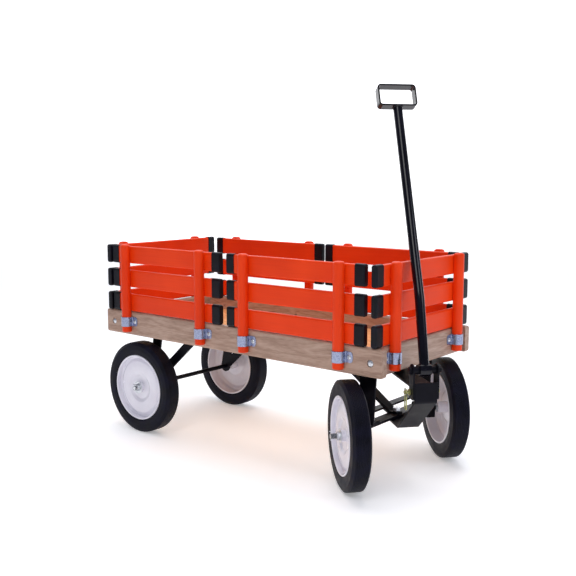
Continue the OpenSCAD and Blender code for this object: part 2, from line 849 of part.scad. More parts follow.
module wheel_rim(i) {
    lip = tyre_width / 2 - 3;
    color(rim_paint) wheel_frame(i) rotate_extrude() polygon([
        [bush_radius, -hub_half], [hub_radius, -hub_half], [hub_radius, 7], [36, 7],
        [44, 11], [70, 11], [80, 5], [rim_radius - 3, 5], [rim_radius - 3, -lip],
        [rim_radius, -lip], [rim_radius, lip], [rim_radius - 5, lip],
        [rim_radius - 5, 8], [81, 8], [71, 14], [43, 14], [35, 10],
        [hub_radius, 10], [hub_radius, hub_half], [bush_radius, hub_half]
    ]);
}

module wheel_bush(i) {
    color(nylon) wheel_frame(i) translate([0, 0, -hub_half])
        ring(bush_radius, axle_radius + run_fit, 2 * hub_half);
}

// Puts the cargo floor's top face at z = 0
module set_down() {
    translate([0, 0, -floor_top]) children();
}

set_down() floor_panel();
set_down() side_rail(-1);  // right_rail
set_down() side_rail(1);  // left_rail
set_down() end_rail(1);  // front_rail
set_down() end_rail(-1);  // rear_rail
set_down() rail_bolts();
set_down() post_straps();
set_down() strap_screws();
set_down() rear_axle();
set_down() rear_axle_hardware();
set_down() rear_bracket(-1);  // rear_bracket_right
set_down() rear_bracket(1);  // rear_bracket_left
set_down() front_beam();
set_down() front_post(-1);  // front_post_right
set_down() front_post(1);  // front_post_left
set_down() centre_brace();
set_down() pivot_plate();
set_down() undercarriage_bolts();
set_down() kingpins();
set_down() steering_yoke();
set_down() yoke_ears();
set_down() tongue_pivot_bolt();
set_down() hitch_pin();
set_down() tie_rod();
set_down() spindle(-1);  // spindle_right
set_down() spindle(1);  // spindle_left
set_down() spindle_hardware(-1);  // spindle_hardware_right
set_down() spindle_hardware(1);  // spindle_hardware_left
set_down() handle_tube();
set_down() hand_grip();
for (i = [0:5]) {
    set_down() rack_slats(RACK_PLACES[i]);
    set_down() rack_posts(RACK_PLACES[i]);
    set_down() rack_caps(RACK_PLACES[i]);
}
for (i = [0:3]) {
    set_down() wheel_tyre(i);
    set_down() wheel_rim(i);
    set_down() wheel_bush(i);
}
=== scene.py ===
"""Looks of the kids pull wagon: racks, bed, wheels, steering and handle, built round its frame."""

import json
import logging
import math
from dataclasses import dataclass
from enum import Enum

import bpy
import numpy as np
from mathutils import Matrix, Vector


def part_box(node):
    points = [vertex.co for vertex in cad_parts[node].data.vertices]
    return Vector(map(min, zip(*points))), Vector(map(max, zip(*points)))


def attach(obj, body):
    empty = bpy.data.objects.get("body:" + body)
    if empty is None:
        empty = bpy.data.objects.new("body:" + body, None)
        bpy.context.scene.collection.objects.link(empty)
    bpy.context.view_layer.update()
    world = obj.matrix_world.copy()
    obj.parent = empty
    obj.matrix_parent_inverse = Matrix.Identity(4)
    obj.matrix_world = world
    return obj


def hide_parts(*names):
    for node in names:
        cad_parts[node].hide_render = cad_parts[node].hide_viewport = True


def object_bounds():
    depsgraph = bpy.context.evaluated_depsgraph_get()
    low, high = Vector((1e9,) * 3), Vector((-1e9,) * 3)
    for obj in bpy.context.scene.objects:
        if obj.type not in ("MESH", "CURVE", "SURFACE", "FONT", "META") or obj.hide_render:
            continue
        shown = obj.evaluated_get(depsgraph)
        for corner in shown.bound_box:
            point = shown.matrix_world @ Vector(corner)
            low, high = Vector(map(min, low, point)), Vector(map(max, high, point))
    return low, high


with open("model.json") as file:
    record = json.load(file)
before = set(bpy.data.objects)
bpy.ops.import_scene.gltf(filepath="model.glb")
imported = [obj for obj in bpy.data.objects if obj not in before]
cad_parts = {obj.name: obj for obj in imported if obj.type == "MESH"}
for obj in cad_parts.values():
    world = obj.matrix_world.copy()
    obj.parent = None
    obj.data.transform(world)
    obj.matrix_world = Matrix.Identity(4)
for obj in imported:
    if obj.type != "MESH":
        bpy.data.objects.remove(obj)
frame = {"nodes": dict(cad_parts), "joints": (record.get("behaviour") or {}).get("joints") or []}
CAD_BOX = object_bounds()

MM = 0.001
LOG = logging.getLogger("wagon")
JOINTS = {joint["name"]: joint for joint in frame["joints"]}
SHARP = math.radians(38)
NEARLY = 0.98  # share of the radius that would turn two corners into one half circle
ALONG, ACROSS, UPWARD = np.eye(3)
Array = np.ndarray
Face = tuple[int, ...]
Tree = bpy.types.NodeTree
Socket = bpy.types.NodeSocket


# ---------------------------------------------------------------- shapes


@dataclass
class Shell:
    """One closed surface, or several joined: its points in metres and its faces."""

    points: Array
    faces: list[Face]

    def shifted(self, x: float = 0.0, y: float = 0.0, z: float = 0.0) -> "Shell":
        """Returns the shell moved by x, y and z metres."""
        return Shell(self.points + np.array([x, y, z]), self.faces)


@dataclass(frozen=True)
class Placement:
    """A local frame: its origin in metres, and its X, Y and Z axes as the rows of a matrix."""

    origin: Array
    axes: Array

    def put(self, shell: Shell) -> Shell:
        """Carries a shell from the local frame to the row frame.

        Args:
            shell: the surface in the local frame.

        Returns:
            The surface in the row frame, with its faces turned round if the axes mirror it.
        """
        mirrored = np.linalg.det(self.axes) < 0
        faces = [face[::-1] for face in shell.faces] if mirrored else shell.faces
        return Shell(self.origin + shell.points @ self.axes, faces)

    def local(self, point: Vector) -> Array:
        """Returns a point of the row frame in local terms."""
        return self.axes @ (np.array(point) - self.origin)


def turned(origin: tuple[float, float, float], degrees: float) -> Placement:
    """Makes a frame that is turned about the upright.

    Args:
        origin: the frame's origin in the row frame.
        degrees: the turn about +Z.

    Returns:
        The placement.
    """
    c, s = math.cos(math.radians(degrees)), math.sin(math.radians(degrees))
    return Placement(np.array(origin), np.array([[c, s, 0], [-s, c, 0], [0, 0, 1.0]]))


def facing(origin: Array, z_axis: Array, x_axis: Array) -> Placement:
    """Makes a frame from the way its Z and X axes point.

    Args:
        origin: the frame's origin in the row frame.
        z_axis: the direction of local Z.
        x_axis: a direction near local X, which is squared up to Z.

    Returns:
        The placement.
    """
    z = np.array(z_axis, float) / np.linalg.norm(z_axis)
    x = np.array(x_axis, float) - np.dot(x_axis, z) * z
    x = x / np.linalg.norm(x)
    return Placement(np.array(origin, float), np.array([x, np.cross(z, x), z]))


def joined(shells: list[Shell]) -> Shell:
    """Returns several shells as one, with the faces' numbers moved up to match."""
    starts = np.cumsum([0] + [len(shell.points) for shell in shells])
    faces = [
        tuple(int(i) + int(start) for i in face)
        for shell, start in zip(shells, starts)
        for face in shell.faces
    ]
    return Shell(np.concatenate([shell.points for shell in shells]), faces)


def loft(rings: Array, closed: bool = False) -> Shell:
    """Joins rings of points with quads.

    Args:
        rings: rows of points, each a ring that runs counter-clockwise about the way the rows go.
        closed: whether the last ring joins the first; if not, the first and last are capped.

    Returns:
        A closed surface that faces outwards.
    """
    rows, columns = rings.shape[:2]
    row = np.arange(rows if closed else rows - 1)[:, None]
    column = np.arange(columns)[None, :]
    ahead, beside = (row + 1) % rows, (column + 1) % columns
    here, there = row * columns, ahead * columns
    quads = np.stack([here + column, here + beside, there + beside, there + column], axis=-1)
    faces: list[Face] = [tuple(quad) for quad in quads.reshape(-1, 4).tolist()]
    if not closed:
        faces.append(tuple(range(columns))[::-1])
        faces.append(tuple(range((rows - 1) * columns, rows * columns)))
    return Shell(rings.reshape(-1, 3), faces)


def revolve(profile: Array, closed: bool = False, steps: int = 48) -> Shell:
    """Turns a profile about local Z: x = r cos a, y = r sin a, z = height.

    Args:
        profile: rows of radius and height; a solid's outside runs upwards.
        closed: whether the profile is a closed loop, counter-clockwise with radius to the right.
        steps: points round the circle.

    Returns:
        The turned surface.
    """
    angle = np.linspace(0, 2 * math.pi, steps, endpoint=False)
    radius, height = profile[:, :1], profile[:, 1:]
    rings = np.stack(
        [radius * np.cos(angle), radius * np.sin(angle), height + 0 * angle], axis=-1
    )
    return loft(rings, closed)


def rounded_box(width: float, height: float, radius: float, steps: int = 5) -> Array:
    """Outline of a rectangle with round corners: quarter circles about four centres.

    Args:
        width: size along x.
        height: size along y.
        radius: corner radius.
        steps: points of each corner after its first.

    Returns:
        Counter-clockwise points about the origin.
    """
    angle = np.linspace(0, math.pi / 2, steps + 1)
    quarter = np.arange(4)[:, None] * math.pi / 2 + angle
    signs = np.array([[1, 1], [-1, 1], [-1, -1], [1, -1]])
    centres = signs * (np.array([width, height]) / 2 - radius)
    circles = radius * np.stack([np.cos(quarter), np.sin(quarter)], axis=-1)
    return (centres[:, None] + circles).reshape(-1, 2)


def circle(radius: float, steps: int = 24) -> Array:
    """Returns the points of a circle about the origin, counter-clockwise."""
    angle = np.linspace(0, 2 * math.pi, steps, endpoint=False)
    return radius * np.stack([np.cos(angle), np.sin(angle)], axis=-1)


def filleted(corners: Array, radii: list[float], steps: int = 8, closed: bool = False) -> Array:
    """Rounds a path's corners with arcs that touch both of a corner's sides.

    An arc of radius r starts r tan(t / 2) before a corner where the path turns by t.

    Args:
        corners: rows of x and y.
        radii: one radius for each rounded corner: the inner ones, or all on a closed path.
        steps: points of each arc after its first.
        closed: whether the path is a loop.

    Returns:
        The rounded path's points.
    """
    corners = np.array(corners, float)
    pieces = [] if closed else [corners[:1]]
    rows = zip(np.roll(corners, 1, axis=0), corners, np.roll(corners, -1, axis=0))
    turns = list(rows) if closed else list(rows)[1:-1]
    for (before, here, after), radius in zip(turns, radii):
        inward = (here - before) / np.linalg.norm(here - before)
        onward = (after - here) / np.linalg.norm(after - here)
        cross = inward[0] * onward[1] - inward[1] * onward[0]
        turn = math.atan2(cross, float(inward @ onward))
        if abs(turn) < 1e-6:
            pieces.append(here[None])
            continue
        side = math.copysign(1.0, turn) * np.array([-inward[1], inward[0]])
        spoke = -side
        start = here - inward * radius * math.tan(abs(turn) / 2)
        angle = np.linspace(0, turn, steps + 1)[:, None]
        swung = np.cos(angle) * spoke + np.sin(angle) * np.array([-spoke[1], spoke[0]])
        pieces.append(start + side * radius + radius * swung)
    if not closed:
        pieces.append(corners[-1:])
    return np.concatenate(pieces)


def dense(path: Array, spacing: float) -> Array:
    """Adds points to a path's long stretches.

    Args:
        path: rows of points.
        spacing: the longest step wanted, in the path's units.

    Returns:
        The same path with no longer steps.
    """
    pieces = []
    for start, end in zip(path[:-1], path[1:]):
        count = max(1, math.ceil(np.linalg.norm(end - start) / spacing))
        pieces.append(start + (end - start) * np.arange(count)[:, None] / count)
    return np.concatenate(pieces + [path[-1:]])


def upright(flat: Array, y: float = 0.0) -> Array:
    """Returns a path of x and z as points of the upright plane at y."""
    return np.insert(flat, 1, y, axis=1)


def sweep(
    path: Array, section: Array, side: Array, closed: bool = False, wide: Array | None = None
) -> Shell:
    """Carries a section along a flat path: point = path + sx w side + sy (tangent x side).

    Args:
        path: rows of x, y and z, in a plane square to side.
        section: outline rows of sx and sy, counter-clockwise.
        side: unit vector along which sx is measured.
        closed: whether the path is a loop.
        wide: one factor for sx at each point of the path, or None for 1.

    Returns:
        The swept surface, capped unless closed.
    """
    if closed:
        tangent = np.roll(path, -1, axis=0) - np.roll(path, 1, axis=0)
    else:
        tangent = np.gradient(path, axis=0)
    tangent = tangent / np.linalg.norm(tangent, axis=1, keepdims=True)
    normal = np.cross(tangent, side)
    factor = np.ones(len(path)) if wide is None else wide
    across = (factor[:, None] * section[:, 0])[..., None] * side
    along = section[None, :, 1, None] * normal[:, None]
    return loft(path[:, None] + across + along, closed)


def outline_normals(outline: Array) -> Array:
    """Returns the outward unit normals of a counter-clockwise outline."""
    run = np.roll(outline, -1, axis=0) - np.roll(outline, 1, axis=0)
    run = run / np.linalg.norm(run, axis=1, keepdims=True)
    return np.stack([run[:, 1], -run[:, 0]], axis=-1)


def plate(outline: Array, thick: float, edge: float = 0.6 * MM) -> Shell:
    """A flat plate with rounded edges: the outline drawn in by e (1 - sin a) near both faces.

    Args:
        outline: counter-clockwise rows of x and y.
        thick: thickness, half each side of z = 0.
        edge: radius of the rounded edges.

    Returns:
        The closed plate.
    """
    angle = np.linspace(0, math.pi / 2, 4)
    inset = edge * (1 - np.sin(angle))
    height = -thick / 2 + edge * (1 - np.cos(angle))
    inset = np.concatenate([inset, inset[::-1]])
    height = np.concatenate([height, -height[::-1]])
    flat = outline[None] - inset[:, None, None] * outline_normals(outline)[None]
    level = np.broadcast_to(height[:, None, None], flat.shape[:2] + (1,))
    return loft(np.concatenate([flat, level], axis=-1))


def hex_nut(across: float, height: float) -> Shell:
    """A hexagon nut on z = 0, both ends chamfered at 30 degrees by a cone.

    The side is at r(a) = (across / 2) / cos(a'), with a' the angle from the middle of its flat.

    Args:
        across: width over the flats.
        height: height.

    Returns:
        The closed nut.
    """
    angle = np.linspace(0, 2 * math.pi, 48, endpoint=False)
    from_flat = (angle + math.pi / 6) % (math.pi / 3) - math.pi / 6
    apothem = across / 2
    radius = apothem / np.cos(from_flat)
    land = apothem * 0.98
    cut = (radius - land) * math.tan(math.radians(30))
    small = np.full_like(radius, land)
    radii = np.stack([small, radius, radius, small])
    levels = np.stack([0 * cut, cut, height - cut, height + 0 * cut])
    rings = np.stack([radii * np.cos(angle), radii * np.sin(angle), levels], axis=-1)
    return loft(rings)


def washer(outer: float, inner: float, height: float) -> Shell:
    """A ring on z = 0 with its outer edges broken.

    Args:
        outer: outer radius.
        inner: inner radius.
        height: height.

    Returns:
        The closed ring.
    """
    edge = min(0.3 * MM, height / 4)
    low = np.array([[inner, 0], [outer - edge, 0], [outer, edge]])
    high = low[::-1] * [1, -1] + [0, height]
    return revolve(np.concatenate([low, high]), closed=True)


def sleeve(outer: float, bore: float, half: float, steps: int) -> Shell:
    """A tube about z = 0 with chamfered ends.

    Args:
        outer: outer radius.
        bore: inner radius.
        half: half its length.
        steps: points round the circle.

    Returns:
        The closed tube.
    """
    chamfer = 0.8 * MM
    top = np.array([[outer, half - chamfer], [outer - chamfer, half], [bore, half]])
    return revolve(np.concatenate([top[::-1] * [1, -1], top]), closed=True, steps=steps)


def rod(radius: float, length: float, thread: float = 0.0, pitch: float = 1.25 * MM) -> Shell:
    """A rod up from z = 0 with a chamfered top, and a thread cut below the top.

    Args:
        radius: the rod's radius.
        length: its length.
        thread: length of the thread at the top, as grooves one pitch apart.
        pitch: distance between the grooves.

    Returns:
        The closed rod.
    """
    depth = 0.45 * pitch
    chamfer = 1 * MM
    count = int(thread / pitch)
    start = length - chamfer - count * pitch
    turn = np.arange(count)[:, None]
    heights = start + (turn + np.array([0.0, 0.25, 0.5, 0.75])) * pitch
    radii = radius - depth * np.array([0.0, 1.0, 1.0, 0.0]) + 0 * turn
    grooves = np.stack([radii.ravel(), heights.ravel()], axis=-1)
    ends = np.array([[radius, length - chamfer], [radius - 0.9 * chamfer, length]])
    low = np.array([[radius - chamfer / 2, 0.0], [radius, chamfer / 2]])
    return revolve(np.concatenate([low, grooves, ends]), steps=32)


def dome(radius: float, height: float, rim: float) -> Shell:
    """A round-headed bolt's head on z = 0: a low spherical cap on a short straight rim.

    Args:
        radius: the head's radius.
        height: the cap's height above the rim.
        rim: height of the rim.

    Returns:
        The closed head.
    """
    share = np.sin(np.linspace(math.pi / 2, 0.06, 12))
    cap = np.stack([radius * share, rim + height * np.sqrt(1 - share**2)], axis=-1)
    low = np.array([[radius * 0.96, 0.0], [radius, rim * 0.4]])
    return revolve(np.concatenate([low, cap]), steps=40)


def cross_head(radius: float, height: float) -> Shell:
    """A pan-head screw's head on z = 0 with a cross recess.

    Height over the disc is h (0.35 + 0.65 (1 - s^4)) with s the share of the radius, less a
    recess that is deepest in the middle, wherever |x| or |y| is under 0.14 of the radius.

    Args:
        radius: the head's radius.
        height: the head's height.

    Returns:
        The closed head.
    """
    share = np.linspace(1.0, 0.04, 14)[:, None]
    angle = np.linspace(0, 2 * math.pi, 56, endpoint=False)[None, :]
    x, y = radius * share * np.cos(angle), radius * share * np.sin(angle)
    arm, reach = 0.14, 0.62
    inside = (np.minimum(np.abs(x), np.abs(y)) < arm * radius) & (share < reach)
    z = height * (0.35 + 0.65 * (1 - share**4)) + 0 * angle
    z = z - np.where(inside, height * (0.15 + 0.6 * (1 - share / reach)), 0.0)
    base = np.stack([radius * np.cos(angle), radius * np.sin(angle), 0 * angle], axis=-1)
    return loft(np.concatenate([base, np.stack([x, y, z], axis=-1)]))


def make_piece(
    name: str,
    shells: list[Shell],
    finish: "Finish",
    body: str,
    nodes: tuple[str, ...] = (),
) -> bpy.types.Object:
    """Makes one Blender object of some shells, hangs it on its body and hides the nodes that it
    stands for.

    Args:
        name: the piece's name.
        shells: its surfaces in the row frame.
        finish: the finish that dresses it.
        body: the CAD body that it rides on.
        nodes: the CAD nodes that it stands for.

    Returns:
        The object.
    """
    shell = joined(shells)
    mesh = bpy.data.meshes.new(name)
    mesh.from_pydata(shell.points.tolist(), [], shell.faces)
    mesh.polygons.foreach_set("use_smooth", np.ones(len(mesh.polygons), bool))
    mesh.set_sharp_from_angle(angle=SHARP)
    mesh.materials.append(finish.material())
    piece = bpy.data.objects.new(name, mesh)
    bpy.context.scene.collection.objects.link(piece)
    even = piece.modifiers.new("even_shading", "WEIGHTED_NORMAL")
    even.keep_sharp = True
    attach(piece, body)
    if nodes:
        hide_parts(*nodes)
    LOG.info("%s: %d faces on %s", name, len(mesh.polygons), body)
    return piece


def dress(node: str, finish: "Finish", soft: float = 0.0) -> None:
    """Gives a CAD node a finish, and may soften its edges.

    Args:
        node: the node's name.
        finish: the finish.
        soft: width of the rounding on its edges, or 0 for none.
    """
    piece = frame["nodes"][node]
    piece.data.materials.clear()
    piece.data.materials.append(finish.material())
    if soft:
        bevel = piece.modifiers.new("softened_edges", "BEVEL")
        bevel.width = soft
        bevel.segments = 3
        bevel.angle_limit = math.radians(45)
        bevel.harden_normals = True
    LOG.info("%s: dressed as %s", node, finish.name)


# ---------------------------------------------------------------- finishes


def linear(code: str) -> tuple[float, float, float, float]:
    """Returns an sRGB hex colour such as #D23A1C as linear red, green, blue and 1."""
    shares = [int(code[i : i + 2], 16) / 255 for i in (1, 3, 5)]
    red, green, blue = (
        share / 12.92 if share <= 0.04045 else ((share + 0.055) / 1.055) ** 2.4
        for share in shares
    )
    return red, green, blue, 1.0


def per(size: float) -> float:
    """Returns the scale of a pattern whose features are size millimetres apart."""
    return 1000.0 / size


def add(tree: Tree, kind: str, inputs: dict | None = None, **settings) -> bpy.types.Node:
    """Adds a node with its settings and its links.

    Args:
        tree: the material's node tree.
        kind: the node's type, without its ShaderNode prefix.
        inputs: its inputs by name or number: a node or an output to link, or a value to set.
        **settings: its properties; stops fills a colour ramp with pairs of place and hex code.

    Returns:
        The node.
    """
    node = tree.nodes.new("ShaderNode" + kind)
    stops = settings.pop("stops", [])
    for key, value in settings.items():
        setattr(node, key, value)
    if stops:
        ramp = node.color_ramp
        for _ in stops[2:]:
            ramp.elements.new(0.5)
        for element, (place, code) in zip(ramp.elements, stops):
            element.position = place
            element.color = linear(code)
    for key, value in (inputs or {}).items():
        source = value.outputs[0] if isinstance(value, bpy.types.Node) else value
        if isinstance(source, Socket):
            tree.links.new(source, node.inputs[key])
        else:
            node.inputs[key].default_value = source
    return node


class Grain(Enum):
    """The way a board's grain runs."""

    LENGTHWISE = 0
    CROSSWISE = 1
    UPRIGHT = 2

    def stretch(self, times: float) -> tuple[float, float, float]:
        """Returns the scales that draw a pattern out along the grain by that many times."""
        scales = [1.0, 1.0, 1.0]
        scales[self.value] = 1 / times
        return tuple(scales)


class Finish:
    """A finish: one material, made the first time that it's asked for."""

    name: str
    slot: str

    def material(self) -> bpy.types.Material:
        """Returns the finish's material.

        Returns:
            The material, which later pieces share.
        """
        found = bpy.data.materials.get(self.name)
        if found:
            return found
        made = bpy.data.materials.new(self.name)
        made.use_nodes = True
        tree = made.node_tree
        tree.nodes.clear()
        where = add(tree, "TexCoord").outputs["Object"]
        shader = add(tree, "BsdfPrincipled", self.surface(tree, where))
        add(tree, "OutputMaterial", {"Surface": shader})
        return made

    def surface(self, tree: Tree, where: Socket) -> dict:
        """Builds the pattern of nodes.

        Args:
            tree: the material's node tree.
            where: the Object coordinates.

        Returns:
            The shader's inputs by name: values, or the nodes that drive them.
        """
        raise NotImplementedError


@dataclass(frozen=True)
class PaintedWood(Finish):
    """Hardwood sprayed with orange enamel.

    The eye sees an even warm orange with a satin gloss, a faint long grain under the paint,
    the fine skin of sprayed enamel and slow changes of shade from board to board.
    """

    name: str
    grain: Grain
    slot: str = "orange_paint"
    light: str = "#F44208"
    deep: str = "#E23602"

    def surface(self, tree: Tree, where: Socket) -> dict:
        """Builds the pattern of nodes.

        Args:
            tree: the material's node tree.
            where: the Object coordinates.

        Returns:
            The shader's inputs by name.
        """
        drawn = add(tree, "Mapping", {"Vector": where, "Scale": self.grain.stretch(30)})
        fibres = add(tree, "TexNoise", {"Vector": drawn, "Scale": per(3.5), "Detail": 3.0})
        shade = add(tree, "TexNoise", {"Vector": where, "Scale": per(140), "Detail": 2.0})
        skin = add(tree, "TexNoise", {"Vector": where, "Scale": per(2.2), "Detail": 1.0})
        mixed = add(tree, "Math", {0: fibres, 1: 0.35, 2: shade}, operation="MULTIPLY_ADD")
        stops = [(0.42, self.deep), (0.92, self.light)]
        colour = add(tree, "ValToRGB", {0: mixed}, stops=stops)
        gloss = add(tree, "MapRange", {0: fibres, 1: 0.3, 2: 0.7, 3: 0.36, 4: 0.46})
        raised = {"Strength": 0.35, "Distance": 0.12 * MM, "Height": fibres}
        peel = {"Strength": 0.25, "Distance": 0.10 * MM, "Height": skin}
        bump = add(tree, "Bump", {**peel, "Normal": add(tree, "Bump", raised)})
        return {"Base Color": colour, "Roughness": gloss, "IOR": 1.3, "Normal": bump}


@dataclass(frozen=True)
class VarnishedBirch(Finish):
    """Planed birch or maple under clear satin varnish.

    The eye sees pale tan wood with slow flame-like growth bands along the board, darker
    fine pores drawn out along the grain, tight rings on the sawn ends and a soft gloss.
    """

    name: str
    grain: Grain
    slot: str = "varnished_wood"
    pale: str = "#BC9F8C"
    middle: str = "#AD8E7B"
    dark: str = "#8F6F5D"
    band: float = 16.0
    rings: float = 11.0

    def surface(self, tree: Tree, where: Socket) -> dict:
        """Builds the pattern of nodes.

        Args:
            tree: the material's node tree.
            where: the Object coordinates.

        Returns:
            The shader's inputs by name.
        """
        tilt = [0.0, 0.0, 0.0]
        tilt[(self.grain.value + 2) % 3] = math.radians(4)
        tilt[(self.grain.value + 1) % 3] = math.radians(3)
        leant = add(tree, "Mapping", {"Vector": where, "Rotation": tilt})
        drawn = add(tree, "Mapping", {"Vector": leant, "Scale": self.grain.stretch(9)})
        wide = {"Vector": drawn, "Scale": per(self.band * 2.2)}
        flame = add(tree, "TexNoise", {**wide, "Detail": 3.0, "Distortion": 0.6})
        rings = add(tree, "Math", {0: flame, 1: self.rings}, operation="MULTIPLY")
        bands = add(tree, "Math", {0: rings, 1: 1.0}, operation="PINGPONG")
        fine = add(tree, "Mapping", {"Vector": leant, "Scale": self.grain.stretch(20)})
        pores = add(tree, "TexNoise", {"Vector": fine, "Scale": per(1.6), "Detail": 4.0})
        soft = add(tree, "Math", {0: bands, 1: 0.3}, operation="MULTIPLY")
        tone = add(tree, "Math", {0: pores, 1: 0.7, 2: soft}, operation="MULTIPLY_ADD")
        stops = [(0.25, self.pale), (0.5, self.middle), (0.8, self.dark)]
        varnish = {"IOR": 1.4, "Coat Weight": 0.12, "Coat Roughness": 0.22}
        pits = {"Strength": 0.4, "Distance": 0.10 * MM, "Height": pores}
        return {
            "Base Color": add(tree, "ValToRGB", {0: tone}, stops=stops),
            "Roughness": add(tree, "MapRange", {0: pores, 1: 0.3, 2: 0.7, 3: 0.36, 4: 0.5}),
            "Normal": add(tree, "Bump", pits),
            **varnish,
        }


@dataclass(frozen=True)
class GalvanisedSteel(Finish):
    """Hot-dipped galvanised strip.

    The eye sees a cool silver sheet broken into flat crystals of slightly different grey,
    each with its own dull gloss.
    """

    name: str = "galvanised_strip"
    slot: str = "galvanised_steel"
    light: str = "#A4ABC4"
    dark: str = "#8C93AE"

    def surface(self, tree: Tree, where: Socket) -> dict:
        """Builds the pattern of nodes.

        Args:
            tree: the material's node tree.
            where: the Object coordinates.

        Returns:
            The shader's inputs by name.
        """
        crystals = add(tree, "TexVoronoi", {"Vector": where, "Scale": per(2.5)})
        grey = add(tree, "SeparateColor", {0: crystals.outputs["Color"]})
        cloud = add(tree, "TexNoise", {"Vector": where, "Scale": per(1.5), "Detail": 3.0})
        mixed = add(tree, "Math", {0: cloud, 1: 0.5, 2: grey}, operation="MULTIPLY_ADD")
        stops = [(0.2, self.dark), (1.0, self.light)]
        spread = {0: grey.outputs[1], 1: 0.0, 2: 1.0, 3: 0.26, 4: 0.32}
        raised = {"Strength": 0.1, "Distance": 0.01 * MM, "Height": mixed}
        return {
            "Base Color": add(tree, "ValToRGB", {0: mixed}, stops=stops),
            "Metallic": 1.0,
            "Roughness": add(tree, "MapRange", spread),
            "Normal": add(tree, "Bump", raised),
        }


@dataclass(frozen=True)
class CloudyFinish(Finish):
    """A finish that drifts between two shades in clouds, under a finer raised skin.

    Sizes and the skin's depth are in millimetres. The clouds also drive the roughness, or
    the skin does.
    """

    name: str
    slot: str
    base: str
    drift: str
    cloud: float
    cloud_detail: float
    places: tuple[float, float]
    skin: float
    skin_detail: float
    strength: float
    depth: float
    rough: tuple[float, float]
    rough_by_skin: bool = False

    def shine(self) -> dict:
        """Returns the shader's inputs that are plain values."""
        return {}

    def surface(self, tree: Tree, where: Socket) -> dict:
        """Builds the pattern of nodes.

        Args:
            tree: the material's node tree.
            where: the Object coordinates.

        Returns:
            The shader's inputs by name.
        """
        slow = {"Vector": where, "Scale": per(self.cloud), "Detail": self.cloud_detail}
        fine = {"Vector": where, "Scale": per(self.skin), "Detail": self.skin_detail}
        cloud, skin = add(tree, "TexNoise", slow), add(tree, "TexNoise", fine)
        low, high = self.rough
        spread = {0: skin if self.rough_by_skin else cloud, 1: 0.3, 2: 0.7, 3: low, 4: high}
        stops = list(zip(self.places, (self.base, self.drift)))
        raised = {"Strength": self.strength, "Distance": self.depth * MM, "Height": skin}
        return {
            "Base Color": add(tree, "ValToRGB", {0: cloud}, stops=stops),
            "Roughness": add(tree, "MapRange", spread),
            "Normal": add(tree, "Bump", raised),
            **self.shine(),
        }


@dataclass(frozen=True)
class PlatedSteel(CloudyFinish):
    """Electroplated steel fasteners: bright zinc, or zinc with a yellow chromate.

    The eye sees a bright, slightly cloudy metal, with faint drifts of colour where the
    chromate is thicker.
    """

    name: str = "bright_zinc_plate"
    slot: str = "zinc_fasteners"
    base: str = "#B4B8BE"
    drift: str = "#E3E5E8"
    cloud: float = 5.0
    cloud_detail: float = 4.0
    places: tuple[float, float] = (0.3, 0.7)
    skin: float = 0.8
    skin_detail: float = 2.0
    strength: float = 0.15
    depth: float = 0.05
    rough: tuple[float, float] = (0.36, 0.26)

    def shine(self) -> dict:
        """Returns the shader's inputs that are plain values."""
        return {"Metallic": 0.85}


@dataclass(frozen=True)
class CoatedSteel(CloudyFinish):
    """Steel under black paint: powder coat on the undercarriage, gloss enamel on the handle.

    The eye sees deep black with the long soft ripples of paint that has flowed, and dust
    that dulls it here and there. The blue tint in both shades is a painted reflection, so the
    lighter drift shade is dust and painted sheen together.
    """

    # Both shades are tinted blue as a painted reflection; the lighter drift is dust and painted
    # sheen together.
    base: str = "#05050C"
    drift: str = "#0D0C18"
    cloud: float = 45.0
    cloud_detail: float = 5.0
    places: tuple[float, float] = (0.35, 0.75)
    skin: float = 2.5
    skin_detail: float = 1.5
    strength: float = 0.4
    depth: float = 0.06
    rough: tuple[float, float] = (0.36, 0.5)
    coat: float = 0.0

    def shine(self) -> dict:
        """Returns the shader's inputs that are plain values."""
        coat = {"Coat Weight": self.coat, "Coat Roughness": 0.12, "Coat IOR": 1.3}
        return {"IOR": 1.22, **coat}


@dataclass(frozen=True)
class EnamelledDisc(CloudyFinish):
    """Pressed steel disc in baked white enamel.

    The eye sees clean white with a cool cast, a wet gloss with slight ripples, and a trace
    of grey dust.
    """

    name: str = "white_baked_enamel"
    slot: str = "rim_paint"
    base: str = "#ECEAF2"
    drift: str = "#E4E0EA"
    cloud: float = 60.0
    cloud_detail: float = 5.0
    places: tuple[float, float] = (0.4, 0.75)
    skin: float = 4.0
    skin_detail: float = 1.0
    strength: float = 0.15
    depth: float = 0.02
    rough: tuple[float, float] = (0.22, 0.28)

    def shine(self) -> dict:
        """Returns the shader's inputs that are plain values."""
        return {"IOR": 1.5, "Coat Weight": 0.4, "Coat Roughness": 0.1}


@dataclass(frozen=True)
class MouldedPlastic(CloudyFinish):
    """Injection-moulded plastic with a spark-eroded skin.

    The eye sees an even body colour, a satin sheen, and a fine grain that is 0.2 mm on the
    real part and is drawn at 0.9 mm so that it shows. The default black shades carry a blue
    tint that is a painted reflection of the surroundings.
    """

    name: str = "black_moulded_caps"
    slot: str = "cap_plastic"
    # The blue tint of these default blacks is a painted reflection of the surroundings.
    base: str = "#06060C"
    drift: str = "#0D0E1C"
    cloud: float = 25.0
    cloud_detail: float = 3.0
    places: tuple[float, float] = (0.35, 0.75)
    skin: float = 0.9
    skin_detail: float = 2.0
    strength: float = 0.35
    depth: float = 0.07
    rough: tuple[float, float] = (0.36, 0.48)
    rough_by_skin: bool = True

    def shine(self) -> dict:
        """Returns the shader's inputs that are plain values."""
        return {"IOR": 1.3}


